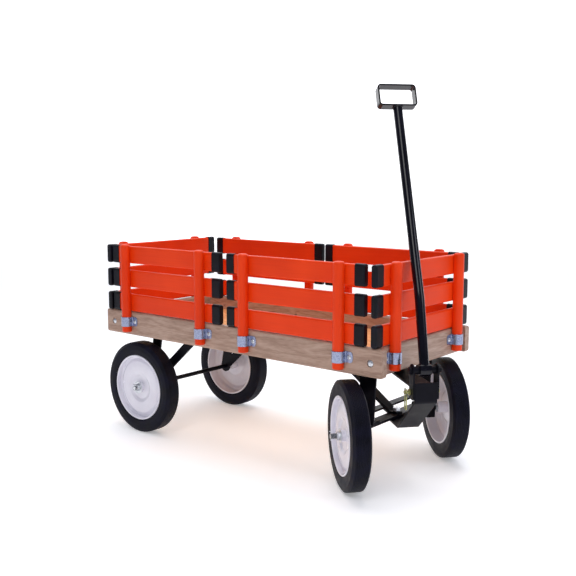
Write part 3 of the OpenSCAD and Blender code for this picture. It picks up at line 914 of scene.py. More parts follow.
@dataclass(frozen=True)
class MouldedRubber(Finish):
    """Solid black rubber tyre, moulded in a turned mould.

    The eye sees black rubber with fine tool lines running round the wheel on tread and
    sidewall, a dull sheen and a grey bloom. The blue tint in both shades is a painted blue
    reflection. Each wheel's lines run round its own axle.
    """

    name: str
    centre: tuple[float, float, float]
    turn: float
    slot: str = "tyre_rubber"
    # Both shades are tinted blue as a painted reflection; the lighter shade is the grey bloom and
    # painted blue sheen together.
    base: str = "#0A0A14"
    bloom_with_painted_sheen: str = "#141426"
    lines: float = 1.4

    def surface(self, tree: Tree, where: Socket) -> dict:
        """Builds the pattern of nodes.

        Args:
            tree: the material's node tree.
            where: the Object coordinates.

        Returns:
            The shader's inputs by name.
        """
        settle = {"Vector": where, "Location": self.centre, "Rotation": (0.0, 0.0, self.turn)}
        place = add(tree, "Mapping", settle, vector_type="TEXTURE")
        parts = add(tree, "SeparateXYZ", {0: place})
        flat = add(tree, "CombineXYZ", {0: parts.outputs[0], 2: parts.outputs[2]})
        radius = add(tree, "VectorMath", {0: flat}, operation="LENGTH").outputs["Value"]
        both = add(tree, "Math", {0: radius, 1: parts.outputs[1]}, operation="ADD")
        # The real lines are about 0.3 mm apart; they are drawn further apart so that they show
        count = 2 * math.pi * per(self.lines)
        waves = add(tree, "Math", {0: both, 1: count}, operation="MULTIPLY")
        lines = add(tree, "Math", {0: waves}, operation="SINE")
        cloud = add(tree, "TexNoise", {"Vector": where, "Scale": per(30.0), "Detail": 5.0})
        skin = add(tree, "TexNoise", {"Vector": where, "Scale": per(1.0), "Detail": 2.0})
        # The blue in both stops is painted reflection; the lighter stop is also the rubber's
        # bloom.
        stops = [(0.35, self.base), (0.75, self.bloom_with_painted_sheen)]
        ribs = {"Strength": 0.5, "Distance": 0.05 * MM, "Height": lines}
        raised = {"Strength": 0.3, "Distance": 0.06 * MM, "Height": skin}
        return {
            "Base Color": add(tree, "ValToRGB", {0: cloud}, stops=stops),
            "Roughness": add(tree, "MapRange", {0: cloud, 1: 0.3, 2: 0.7, 3: 0.42, 4: 0.6}),
            "IOR": 1.22,
            "Normal": add(tree, "Bump", {**raised, "Normal": add(tree, "Bump", ribs)}),
        }


ORANGE_LONG = PaintedWood("orange_enamel_on_side_boards", Grain.LENGTHWISE)
ORANGE_CROSS = PaintedWood("orange_enamel_on_end_boards", Grain.CROSSWISE)
ORANGE_UPRIGHT = PaintedWood("orange_enamel_on_posts", Grain.UPRIGHT)
BIRCH_LONG = VarnishedBirch("varnished_birch_side_rail", Grain.LENGTHWISE)
BIRCH_CROSS = VarnishedBirch("varnished_birch_end_rail", Grain.CROSSWISE)
BIRCH_FLOOR = VarnishedBirch(
    "varnished_birch_floor",
    Grain.LENGTHWISE,
    pale="#FFCE92",
    middle="#F6BA7A",
    dark="#D8985E",
    band=30.0,
)
GALVANISED = GalvanisedSteel()
ZINC = PlatedSteel()
YELLOW_ZINC = PlatedSteel(
    "yellow_chromate_zinc", "yellow_zinc", base="#96945A", drift="#C6C48C", rough=(0.4, 0.3)
)
POWDER_COAT = CoatedSteel("black_powder_coat", "black_steel")
GLOSS_BLACK = CoatedSteel(
    "gloss_black_enamel", "black_handle_paint", rough=(0.14, 0.24), skin=6.0, depth=0.04, coat=0.8
)
WHITE_ENAMEL = EnamelledDisc()
CAP_PLASTIC = MouldedPlastic()
NYLON = MouldedPlastic(
    "natural_nylon_bush", "bush_nylon", base="#DCDACB", drift="#C9C6B4", rough=(0.4, 0.52)
)


# ---------------------------------------------------------------- racks


@dataclass
class StakeRack:
    """One lift-off rack: three slats, two posts and six end caps.

    Its own frame has X along the rack, -Y outwards and y = 0 on the rail's outer face.
    """

    name: str
    rail: str
    turn: float
    tab_side: int
    boards: PaintedWood
    pitch: float = 66.5 * MM
    slat_edge: float = 4 * MM
    cap_length: float = 27 * MM
    cap_proud: float = 1.5 * MM
    cap_wall: float = 3 * MM
    cap_edge: float = 4 * MM
    post_width: float = 26.5 * MM
    post_depth: float = 8.6 * MM
    post_gap: float = 0.4 * MM
    top_in: float = 8 * MM
    top_up: float = 5.5 * MM
    foot_in: float = 3 * MM
    foot_up: float = 3 * MM

    def __post_init__(self) -> None:
        """Finds the rack's place: the middle of its slats, on the outer face of its rail."""
        self.place = turned((0, 0, 0), self.turn)
        low, high = (np.array(corner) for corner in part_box(f"{self.name}_rack_slats"))
        rail_low, rail_high = (np.array(corner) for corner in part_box(self.rail))
        outward = -self.place.axes[1]
        edges = [rail_high, rail_low]
        face = np.select([outward > 0.5, outward < -0.5], edges, (low + high) / 2)
        face[2] = 0.0
        self.place = turned(tuple(face), self.turn)

    def box(self, part: str) -> tuple[Array, Array]:
        """Returns the lowest and highest corner of one of the rack's nodes, in its own frame."""
        corners = np.array([self.place.local(c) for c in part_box(f"{self.name}_rack_{part}")])
        return corners.min(axis=0), corners.max(axis=0)

    def levels(self) -> Array:
        """Returns the heights of the slats' middles."""
        low, high = self.box("slats")
        return (low[2] + high[2]) / 2 + self.pitch * np.array([-1, 0, 1])

    def slat_size(self) -> tuple[float, float, float]:
        """Returns a slat's half length, thickness and height."""
        low, high = self.box("slats")
        return high[0], high[1] - low[1], high[2] - low[2] - 2 * self.pitch

    def post_places(self) -> tuple[float, float]:
        """Returns the posts' places along the rack."""
        low, high = self.box("posts")
        return low[0] + self.post_width / 2, high[0] - self.post_width / 2

    def slats(self) -> list[Shell]:
        """Makes the slats: a rounded board section along X, thinned by a slow planing wave.

        Returns:
            The slats' shells in the rack's frame.
        """
        half, thick, height = self.slat_size()
        section = rounded_box(thick, height, self.slat_edge)
        middle = self.box("slats")[0][1] + thick / 2
        x = np.linspace(-half, half, 41)
        shells = []
        for order, z in enumerate(self.levels()):
            wave = 1 - 0.008 * (1 + np.sin(x / (37 * MM) + 2 * order))
            path = np.stack([x, 0 * x + middle, 0 * x + z], axis=-1)
            shells.append(sweep(path, section, ACROSS, wide=wave))
        return shells

    def cap(self, side: int, level: float) -> Shell:
        """Makes one end cap: a cup drawn over the slat's end.

        The rings start at the bottom of the pocket, run back to the mouth, round a bead and
        out to the end, where they draw in by e (1 - cos a) while they advance by e sin a.

        Args:
            side: 1 at the rack's +X end and -1 at the other.
            level: height of the slat's middle.

        Returns:
            The cap's shell in the rack's frame.
        """
        half, thick, height = self.slat_size()
        end = half + self.cap_wall
        mouth = end - self.cap_length
        skin, bead = 0.05 * MM, 0.5 * MM
        turn = np.linspace(0, math.pi / 2, 6)
        lip_turn = np.linspace(0, math.pi / 2, 4)
        lip = self.cap_proud - bead * (1 - np.sin(lip_turn))
        nose = self.cap_proud - 0.75 * self.cap_edge * (1 - np.cos(turn))
        lip_x = mouth + bead * (1 - np.cos(lip_turn))
        nose_x = end - self.cap_edge * (1 - np.sin(turn))
        rings = []
        for grow, x in zip(
            [skin, skin, *lip, *nose], [half + skin, mouth + 0.2 * MM, *lip_x, *nose_x]
        ):
            corner = max(self.slat_edge + 1.2 * grow, 1 * MM)
            outline = rounded_box(thick + 2 * grow, height + 2 * grow, corner)
            rings.append(np.insert(outline, 0, x, axis=1))
        shell = loft(np.array(rings)).shifted(y=self.box("slats")[0][1] + thick / 2, z=level)
        flip = Placement(np.zeros(3), np.diag([float(side), 1.0, 1.0]))
        return flip.put(shell)

    def post(self, x: float) -> Shell:
        """Makes one post: a round bar with a flat, drawn in over a domed top and bottom.

        Near each end the outline is drawn in by r (1 - cos a) at a height r' (1 - sin a)
        from the end. The arc runs between the two edges of the flat, which are where the
        circle meets it: sin a = (flat - middle) / radius. The flat side faces the slats.

        Args:
            x: the post's place along the rack.

        Returns:
            The post's shell in the rack's frame.
        """
        low, high = self.box("posts")
        turn = np.linspace(math.pi / 2, 0, 7)
        up = turn[::-1]
        inset = np.concatenate([self.foot_in * (1 - np.cos(turn)), self.top_in * (1 - np.cos(up))])
        foot = low[2] + self.foot_up * (1 - np.sin(turn))
        top = high[2] - self.top_up * (1 - np.sin(up))
        z = np.concatenate([foot, top])[:, None]
        radius = (self.post_width / 2 - inset)[:, None]
        middle = -self.post_gap - self.post_depth
        flat = -self.post_gap - 0.35 * inset[:, None]
        ends = np.arcsin(np.clip((flat - middle) / radius, -1, 1))
        angle = math.pi - ends + (math.pi + 2 * ends) * np.linspace(0, 1, 37)
        rings = np.stack(
            [x + radius * np.cos(angle), middle + radius * np.sin(angle), z + 0 * angle], axis=-1
        )
        return loft(rings)

    def build(self) -> None:
        """Makes the rack's three pieces."""
        body = f"{self.name}_rack"
        caps = [self.cap(side, level) for side in (-1, 1) for level in self.levels()]
        posts = [self.post(x) for x in self.post_places()]
        for part, shells, finish in (
            ("slats", self.slats(), self.boards),
            ("posts", posts, ORANGE_UPRIGHT),
            ("caps", caps, CAP_PLASTIC),
        ):
            put = [self.place.put(shell) for shell in shells]
            make_piece(f"{body}_{part}_finished", put, finish, body, (f"{body}_{part}",))


@dataclass
class PostStraps:
    """The pressed straps that hold the racks' posts to the rails, with their screws."""

    racks: list[StakeRack]
    thick: float = 1.6 * MM
    gap: float = 0.35 * MM
    tab: float = 19 * MM
    short_tab: float = 5 * MM
    tab_round: float = 8 * MM
    root_round: float = 2.5 * MM
    head_radius: float = 5.5 * MM
    head_height: float = 2.6 * MM

    def __post_init__(self) -> None:
        """Reads the straps' level and height from the frame."""
        low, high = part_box("post_straps")
        self.level = (low.z + high.z) / 2
        self.height = high.z - low.z

    def strap(self, rack: StakeRack, x: float) -> Shell:
        """Makes one strap: a flat strip along a path that goes out round the post and back.

        The strip's height shrinks over the tab's end as its corner circle does:
        h = H / 2 - r + sqrt(r^2 - (r - s)^2), with s the way from the end.

        Args:
            rack: the rack whose post it holds.
            x: the post's place along the rack.

        Returns:
            The strap's shell in the rack's frame.
        """
        out = rack.post_width / 2 + self.gap + self.thick / 2
        far = -(rack.post_depth + rack.post_gap + out)
        flat = -self.thick / 2
        side = rack.tab_side
        long, short = out + self.tab + self.thick / 2, -out - self.short_tab
        corners = [[long, flat], [out, flat], [out, far], [-out, far], [-out, flat], [short, flat]]
        radii = [self.root_round, out * NEARLY, out * NEARLY, self.root_round]
        plan = dense(filleted(np.array(corners) * [side, 1], radii, steps=14), 1.2 * MM)
        path = np.concatenate([plan + [x, 0], 0 * plan[:, :1] + self.level], axis=1)
        steps = np.linalg.norm(np.diff(path, axis=0), axis=1)
        run = np.concatenate([[0.0], np.cumsum(steps)])
        near_end = np.clip(self.tab_round - run, 0, self.tab_round)
        drawn = self.tab_round - np.sqrt(self.tab_round**2 - near_end**2)
        wide = 1 - 2 * drawn / self.height
        section = rounded_box(self.height, self.thick, 0.45 * MM, steps=3)
        return sweep(path, section, UPWARD, wide=wide)

    def screw(self, rack: StakeRack, x: float) -> Shell:
        """Makes the head of one strap's screw.

        Args:
            rack: the rack whose post the strap holds.
            x: the post's place along the rack.

        Returns:
            The head's shell in the rack's frame.
        """
        middle = rack.post_width / 2 + self.gap + self.thick + self.tab / 2
        where = np.array([x + rack.tab_side * middle, -self.thick, self.level])
        outward = facing(where, -ACROSS, np.array([0.8, 0, 0.6]))
        return outward.put(cross_head(self.head_radius, self.head_height))

    def build(self) -> None:
        """Makes the straps as one piece and their screws as another."""
        places = [(rack, x) for rack in self.racks for x in rack.post_places()]
        straps = [rack.place.put(self.strap(rack, x)) for rack, x in places]
        screws = [rack.place.put(self.screw(rack, x)) for rack, x in places]
        make_piece("pressed_post_straps", straps, GALVANISED, "bed", ("post_straps",))
        make_piece("cross_head_screws", screws, ZINC, "bed", ("strap_screws",))


# ---------------------------------------------------------------- wheels


@dataclass
class DiscWheel:
    """One wheel: a solid ribbed tyre on a pressed disc, turning on a nylon bush.

    Its own frame has its origin at the wheel's middle and Z outboard along the axle.
    """

    name: str
    side: int
    radius: float = 127 * MM
    width: float = 45 * MM
    seat: float = 91 * MM
    hub_radius: float = 14 * MM
    hub_half: float = 19 * MM
    bore: float = 8.5 * MM
    ribs: int = 8
    rib_pitch: float = 3.6 * MM
    groove: float = 0.9 * MM

    def __post_init__(self) -> None:
        """Finds the wheel's place from its joint."""
        joint = JOINTS[f"{self.name}_wheel_roll"]
        axle = self.side * np.array(joint["axis"], float)
        self.place = facing(np.array(joint["pos_m"]), axle, UPWARD)

    def tyre(self) -> Shell:
        """Makes the tyre by turning its profile, with V grooves cut in the tread.

        Returns:
            The tyre's shell in the wheel's frame.
        """
        half = self.width / 2
        edge = self.radius - 5.5 * MM
        outline = [
            [self.seat, -half + 3 * MM],
            [self.seat + 4 * MM, -half + 0.8 * MM],
            [self.seat + 15 * MM, -half],
            [edge - 3 * MM, -half + 0.8 * MM],
            [self.radius - 0.4 * MM, -half + 5.8 * MM],
        ]
        side = filleted(np.array(outline), [1.5 * MM, 20 * MM, 4 * MM], steps=6)
        middles = (np.arange(self.ribs) - (self.ribs - 1) / 2) * self.rib_pitch
        across = np.array([-0.5, 0.0, 0.5]) * self.groove
        z = (middles[:, None] + across).ravel()
        r = self.radius - np.tile([0.0, self.groove, 0.0], self.ribs)
        tread = np.stack([r, z], axis=-1)
        far = side[::-1] * [1, -1]
        profile = np.concatenate([side, tread, far])
        return revolve(profile, closed=True, steps=144)

    def disc(self) -> Shell:
        """Makes the pressed disc by turning its closed profile about the axle.

        Returns:
            The disc's shell in the wheel's frame.
        """
        lip = self.width / 2 - 0.9 * MM
        band = self.seat - 4.8 * MM
        corners = np.array(
            [
                [self.hub_radius, 6.6 * MM],
                [35 * MM, 6.6 * MM],
                [44 * MM, 11 * MM],
                [58 * MM, 12 * MM],
                [71 * MM, 10.5 * MM],
                [79 * MM, 4.5 * MM],
                [band - 0.5 * MM, 4.5 * MM],
                [band + 0.5 * MM, -lip + 1.5 * MM],
                [band + 0.5 * MM, -lip],
                [self.seat + 0.1 * MM, -lip],
                [self.seat + 0.1 * MM, lip],
                [band, lip],
                [band, 7.5 * MM],
                [80 * MM, 7.5 * MM],
                [72 * MM, 13.5 * MM],
                [58 * MM, 15 * MM],
                [43 * MM, 14 * MM],
                [34 * MM, 9.6 * MM],
                [self.hub_radius, 9.6 * MM],
            ]
        )
        radii = [0.1, 5, 5, 30, 6, 4, 2, 1, 0.4, 1.5, 1.9, 1.9, 3, 4, 6, 30, 5, 5, 0.1]
        profile = filleted(corners, [r * MM for r in radii], steps=5, closed=True)
        return revolve(profile, closed=True, steps=128)

    def build(self) -> None:
        """Makes the wheel's tyre and disc and dresses its bush."""
        centre = tuple(float(v) for v in self.place.origin)
        axle = self.place.axes[2] * self.side
        turn = math.atan2(-axle[0], axle[1])
        rubber = MouldedRubber(f"{self.name}_ribbed_black_rubber", centre, turn)
        hub = sleeve(self.hub_radius, self.bore, self.hub_half, steps=64)
        tyre = [self.place.put(self.tyre())]
        disc = [self.place.put(self.disc()), self.place.put(hub)]
        body = f"{self.name}_wheel"
        make_piece(f"{self.name}_ribbed_tyre", tyre, rubber, body, (f"{self.name}_tyre",))
        make_piece(f"{self.name}_pressed_disc", disc, WHITE_ENAMEL, body, (f"{self.name}_rim",))
        dress(f"{self.name}_bush", NYLON)


@dataclass
class AxleEnd:
    """The hardware at one wheel's hub: spacer, large washer, nut, threaded end and split pin."""

    wheel: DiscWheel
    stub: float
    spacer: float = 9 * MM
    axle: float = 6 * MM
    gap: float = 0.4 * MM
    washer_radius: float = 17 * MM
    washer_thick: float = 1.8 * MM
    nut_across: float = 18 * MM
    nut_height: float = 8 * MM
    wire: float = 0.9 * MM
    pin_in: float = 2.5 * MM
    skin: float = 0.2 * MM

    def shells(self, inner: float) -> list[Shell]:
        """Makes the hardware in the row frame.

        Args:
            inner: how far the spacer reaches inboard of the hub.

        Returns:
            The shells.
        """
        hub = self.wheel.hub_half
        face = hub + self.gap
        tube = washer(self.spacer, self.axle, inner - self.gap).shifted(z=-hub - inner)
        plain = washer(self.washer_radius, self.axle, self.washer_thick).shifted(z=face)
        nut = hex_nut(self.nut_across, self.nut_height).shifted(z=face + self.washer_thick)
        end = rod(self.axle + self.skin, self.stub + self.skin, thread=self.stub - 2 * MM)
        end = end.shifted(z=hub)
        pin = self.split_pin().shifted(z=hub + self.stub - self.pin_in)
        return [self.wheel.place.put(shell) for shell in (tube, plain, nut, end, pin)]

    def split_pin(self) -> Shell:
        """Makes the split pin: a wire across the axle, its two legs bent apart.

        Returns:
            The wire's shell, upright on z = 0.
        """
        reach = self.axle + 4 * MM
        corners = np.array([[-reach, self.wire], [reach, self.wire], [reach + 2 * MM, 5 * MM]])
        flat = dense(filleted(corners, [1.5 * MM]), 1 * MM)
        path = upright(flat)
        return sweep(path, circle(self.wire, 10), ACROSS)


# ---------------------------------------------------------------- bed and undercarriage


SIDED = ("rear_bracket", "front_post", "spindle")
BLACK_NODES = (
    *("rear_axle", "front_beam", "centre_brace", "pivot_plate", "tie_rod"),
    *(f"{name}_{side}" for name in SIDED for side in ("right", "left")),
)


@dataclass
class Bed:
    """The rails, floor and undercarriage with their bolts."""

    bolt_head: float = 7.5 * MM
    dome_height: float = 2.6 * MM
    dome_rim: float = 1.1 * MM
    seat_radius: float = 8.4 * MM
    seat_sunk: float = 0.5 * MM

    def rail_bolts(self) -> list[Shell]:
        """Makes the corner bolts' round heads and the washers that they sit on.

        Returns:
            The shells in the row frame.
        """
        low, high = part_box("rail_bolts")
        shells = []
        for x in (low.x + self.bolt_head, high.x - self.bolt_head):
            for side, outer in ((-1, low.y), (1, high.y)):
                seat = outer - side * (self.dome_height + self.dome_rim)
                where = np.array([x, seat, (low.z + high.z) / 2])
                place = facing(where, np.array([0, side, 0.0]), ALONG)
                shells.append(place.put(dome(self.bolt_head, self.dome_height, self.dome_rim)))
                under = washer(self.seat_radius, 4 * MM, self.seat_sunk + 0.1 * MM)
                shells.append(place.put(under.shifted(z=-self.seat_sunk)))
        return shells

    def build(self) -> None:
        """Dresses the wood and the steel that stay as they are, and makes the bolts."""
        for nodes, finish, soft in (
            (("right_rail", "left_rail"), BIRCH_LONG, 0.0),
            (("front_rail", "rear_rail"), BIRCH_CROSS, 0.0),
            (("floor_panel",), BIRCH_FLOOR, 0.0),
            (BLACK_NODES, POWDER_COAT, 0.8 * MM),
            (("undercarriage_bolts", "kingpins"), ZINC, 0.0),
        ):
            for node in nodes:
                dress(node, finish, soft)
        make_piece("round_rail_bolts", self.rail_bolts(), ZINC, "bed", ("rail_bolts",))


# ---------------------------------------------------------------- steering and handle


@dataclass
class SteeringYoke:
    """The folded yoke that the handle turns, with its ears, bolt and hitch pin.

    Its own frame has its origin on the steering axis at the yoke's bottom, X (u) ahead,
    Y (v) to the left and Z up.
    """

    plate: float = 5 * MM
    half_width: float = 26 * MM
    arm_half: float = 12 * MM
    arm: float = 82 * MM
    bend_u: float = 88 * MM
    front_u: float = 206 * MM
    bend_z: float = 91 * MM
    bend_round: float = 9 * MM
    lip: float = 11.5 * MM
    ear_thick: float = 4 * MM
    ear_bottom: float = 96.5 * MM
    ear_round: float = 14 * MM
    bolt_radius: float = 5 * MM
    bolt_across: float = 15 * MM
    bolt_washer: float = 9.5 * MM
    washer_thick: float = 1.2 * MM
    flange_u: tuple[float, float] = (168 * MM, 203 * MM)
    flange_top: float = 121 * MM
    flange_round: float = 3 * MM
    foot_round: float = 5 * MM
    spacer_radius: float = 9 * MM
    spacer_start: float = 13.6 * MM
    spacer_length: float = 12 * MM
    hitch_u: float = 184 * MM
    hitch_z: float = 111.5 * MM
    hitch_radius: float = 4 * MM
    collar_radius: float = 7.5 * MM
    collar_width: float = 3 * MM
    pin_left: float = 8 * MM
    pin_right: float = 14 * MM
    wire: float = 1.5 * MM

    def __post_init__(self) -> None:
        """Finds the yoke's frame from its joints."""
        steer, tilt = JOINTS["steer"], JOINTS["handle_tilt"]
        low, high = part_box("steering_yoke")
        across = np.array(tilt["axis"], float)
        ahead = np.cross(across, [0, 0, 1.0])
        origin = np.array([steer["pos_m"][0], steer["pos_m"][1], low.z])
        self.place = Placement(origin, np.array([ahead, across, [0, 0, 1.0]]))
        self.height = high.z - low.z
        self.pivot = self.place.local(Vector(tilt["pos_m"]))

    def strip(self, corners: list[list[float]], radii: list[float], narrow: bool) -> Shell:
        """Folds a plate along a path in u and z.

        Args:
            corners: the path of its middle surface.
            radii: one bend radius for each inner corner.
            narrow: whether the plate runs back into the rear arm, or else ends round.

        Returns:
            The plate's shell in the yoke's frame.
        """
        flat = dense(filleted(np.array(corners), radii), 2.5 * MM)
        path = upright(flat)
        u = flat[:, 0]
        round_end = np.sqrt(np.clip(self.half_width**2 - np.minimum(u, 0) ** 2, 0, None))
        past = np.clip(-self.arm - u, 0, self.arm_half)
        arm_width = np.sqrt(self.arm_half**2 - past**2)
        width = np.maximum(round_end, arm_width) if narrow else round_end
        section = rounded_box(2 * self.half_width, self.plate, 0.9 * MM, steps=4)
        return sweep(path, section, ACROSS, wide=width / self.half_width)

    def on_side(self, v: float) -> Placement:
        """Returns a frame at v whose X is u, whose Y is up and whose Z points to -v."""
        return facing(np.array([0, v, 0.0]), -ACROSS, ALONG)

    def plates(self) -> list[Shell]:
        """Makes the folded lower plate, the top plate and the two side flanges.

        Returns:
            The shells in the yoke's frame.
        """
        half = self.plate / 2
        slope = math.atan2(self.bend_z, self.front_u - self.bend_u)
        low_corner = self.bend_u - half * math.tan(slope / 2)
        high_corner = self.bend_z + half * math.tan((math.pi / 2 - slope) / 2)
        front = self.front_u - half
        lower = [
            [-self.arm - self.arm_half + 0.3 * MM, half],
            [low_corner, half],
            [front, high_corner],
            [front, self.height],
        ]
        level = self.height - self.lip - half
        upper = [[-self.half_width + 0.3 * MM, level], [front, level]]
        shells = [
            self.strip(lower, [self.bend_round] * 2, narrow=True),
            self.strip(upper, [], narrow=False),
        ]
        (back, ahead), low, high = self.flange_u, self.ear_bottom, self.flange_top
        flange = np.array([[back, low], [ahead, low], [ahead, high], [back, high]])
        outline = filleted(flange, [self.flange_round] * 4, closed=True)
        for side in (-1, 1):
            place = self.on_side(side * (self.half_width - half - 0.1 * MM))
            shells.append(place.put(plate(outline, self.plate)))
        return shells

    def ears(self) -> list[Shell]:
        """Makes the two ears: plates with a round top about the handle's pivot.

        Returns:
            The shells in the yoke's frame.
        """
        u, z = self.pivot[0], self.pivot[2]
        r = self.ear_round
        low = self.ear_bottom
        corners = np.array([[u - r, low], [u + r, low], [u + r, z + r], [u - r, z + r]])
        radii = [self.foot_round, self.foot_round, r * NEARLY, r * NEARLY]
        outline = filleted(corners, radii, steps=12, closed=True)
        offset = self.half_width + self.ear_thick / 2
        return [
            self.on_side(side * offset).put(plate(outline, self.ear_thick)) for side in (-1, 1)
        ]

    def pivot_bolt(self) -> list[Shell]:
        """Makes the handle's bolt: hexagon head, washers, spacers, thread and nut.

        Returns:
            The shells in the yoke's frame.
        """
        outside = self.half_width + self.ear_thick
        u, z = self.pivot[0], self.pivot[2]
        right = self.on_side(0.0)
        left = facing(np.zeros(3), ACROSS, ALONG)
        ring = washer(self.bolt_washer, self.bolt_radius, self.washer_thick)
        ring = ring.shifted(z=outside)
        seat = outside + self.washer_thick
        head = [
            ring,
            hex_nut(self.bolt_across, 5 * MM).shifted(z=seat),
            rod(self.bolt_radius, outside),
        ]
        nut = [
            ring,
            hex_nut(self.bolt_across, 6.5 * MM).shifted(z=seat),
            rod(self.bolt_radius, outside + 10 * MM, thread=9 * MM),
        ]
        spacer = washer(self.spacer_radius, self.bolt_radius, self.spacer_length)
        spacer = spacer.shifted(z=self.spacer_start)
        shells = [right.put(shell.shifted(x=u, y=z)) for shell in [*head, spacer]]
        shells += [left.put(shell.shifted(x=u, y=-z)) for shell in [*nut, spacer]]
        return shells

    def hitch_pin(self) -> list[Shell]:
        """Makes the pin, its collars and the hairpin clip on its right end.

        Returns:
            The shells in the yoke's frame.
        """
        outside = self.half_width + self.ear_thick
        right = self.on_side(0.0)
        length = 2 * outside + self.pin_left + self.pin_right
        pin = rod(self.hitch_radius, length).shifted(z=-outside - self.pin_left)
        collar = washer(self.collar_radius, self.hitch_radius, self.collar_width)
        ends = (outside, -outside - self.collar_width)
        turned_parts = [pin, *(collar.shifted(z=end) for end in ends)]
        shells = [
            right.put(shell.shifted(x=self.hitch_u, y=self.hitch_z)) for shell in turned_parts
        ]
        return shells + [self.hairpin(outside + 9.5 * MM)]

    def hairpin(self, out: float) -> Shell:
        """Makes the hairpin: a wire with one straight leg, a bow below and one wavy leg.

        Args:
            out: distance of the wire's plane from the yoke's middle, to the right.

        Returns:
            The wire's shell in the yoke's frame.
        """
        gap = self.hitch_radius + self.wire
        top, waist, bottom = 8 * MM, -16 * MM, -39 * MM
        corners = np.array([[-gap, top], [-gap, bottom], [gap, bottom], [gap, waist]])
        legs = filleted(corners, [gap * NEARLY, gap * NEARLY], steps=12)
        wavy = np.linspace(0, 1, 15)[1:, None]
        bulge = 0.96 * MM * np.sin(2 * math.pi * wavy)
        last = np.concatenate([gap + bulge, waist + (top - waist) * wavy], axis=1)
        flat = dense(np.concatenate([legs, last]), 2 * MM)
        path = upright(flat)
        shift = np.array([self.hitch_u, -out, self.hitch_z])
        return sweep(path + shift, circle(self.wire, 12), ACROSS)

    def build(self) -> None:
        """Makes the yoke's four pieces."""
        for name, shells, finish, node in (
            ("folded_yoke_plates", self.plates(), POWDER_COAT, "steering_yoke"),
            ("rounded_yoke_ears", self.ears(), POWDER_COAT, "yoke_ears"),
            ("threaded_pivot_bolt", self.pivot_bolt(), POWDER_COAT, "tongue_pivot_bolt"),
            ("pin_with_hairpin", self.hitch_pin(), YELLOW_ZINC, "hitch_pin"),
        ):
            put = [self.place.put(shell) for shell in shells]
            make_piece(name, put, finish, "steering_yoke", (node,))


@dataclass
class PullHandle:
    """The bent tube with its pivot eye, and the flat-strip grip welded to its end."""

    yoke: SteeringYoke
    radius: float = 11 * MM
    eye_radius: float = 14 * MM
    eye_half: float = 13 * MM
    lean_low: float = 15.0
    lean_high: float = 23.0
    low: float = 145 * MM
    bend: float = 200 * MM
    upper: float = 451.2 * MM
    grip_width: float = 94 * MM
    grip_height: float = 56 * MM
    grip_depth: float = 24 * MM
    strip: float = 4 * MM
    grip_round: float = 9 * MM
    weld: float = 1.6 * MM

    def directions(self) -> tuple[Array, Array]:
        """Returns the directions of the lower and upper tube in the yoke's frame.

        Returns:
            Two unit vectors.
        """
        leans = [math.radians(lean) for lean in (self.lean_low, self.lean_high)]
        low, high = [np.array([-math.sin(lean), 0, math.cos(lean)]) for lean in leans]
        return low, high

    def route(self) -> Array:
        """Returns the tube's centreline: two straights joined by one wide arc.

        Returns:
            Rows of points in the yoke's frame.
        """
        first, second = self.directions()
        half_turn = math.radians(self.lean_high - self.lean_low) / 2
        tangent = self.bend * math.tan(half_turn)
        start = self.yoke.pivot
        corner = start + first * (self.low + tangent)
        end = corner + second * (self.upper + tangent)
        flat = filleted(np.array([start, corner, end])[:, [0, 2]], [self.bend], steps=10)
        flat = dense(flat, 20 * MM)
        return upright(flat, start[1])

    def tube(self) -> list[Shell]:
        """Makes the tube, its pivot eye and the weld bead below the grip.

        Returns:
            The shells in the yoke's frame.
        """
        across = ACROSS
        route = self.route()
        round_tube = sweep(route, circle(self.radius, 40), across)
        eye = sleeve(self.eye_radius, self.yoke.bolt_radius, self.eye_half, steps=56)
        eye_place = facing(self.yoke.pivot, across, ALONG)
        bead = circle(self.weld, 12) + [self.radius + 0.2 * MM, 0]
        ring = revolve(bead, closed=True, steps=40).shifted(z=-0.6 * MM)
        bead_place = facing(route[-1], self.directions()[1], across)
        return [round_tube, eye_place.put(eye), bead_place.put(ring)]

    def grip(self) -> list[Shell]:
        """Makes the grip: a flat strip with soft edges bent round a rounded rectangle.

        Returns:
            The shells in the yoke's frame.
        """
        width, height = self.grip_width - self.strip, self.grip_height - self.strip
        loop = rounded_box(width, height, self.grip_round - self.strip / 2, steps=10)
        loop = dense(np.concatenate([loop, loop[:1]]), 4 * MM)[:-1]
        path = np.insert(loop, 2, 0.0, axis=1)
        section = rounded_box(self.grip_depth, self.strip, 1.4 * MM, steps=5)
        strip = sweep(path, section, UPWARD, closed=True)
        upward = self.directions()[1]
        across = ACROSS
        middle = self.route()[-1] + upward * self.grip_height / 2
        forward = np.cross(across, upward)
        place = Placement(middle, np.array([across, upward, forward]))
        return [place.put(strip)]

    def build(self) -> None:
        """Makes the tube and the grip."""
        put = self.yoke.place.put
        tube = [put(shell) for shell in self.tube()]
        grip = [put(shell) for shell in self.grip()]
        make_piece("bent_handle_tube", tube, GLOSS_BLACK, "handle", ("handle_tube",))
        make_piece("flat_strip_grip", grip, GLOSS_BLACK, "handle", ("hand_grip",))


# ---------------------------------------------------------------- stage


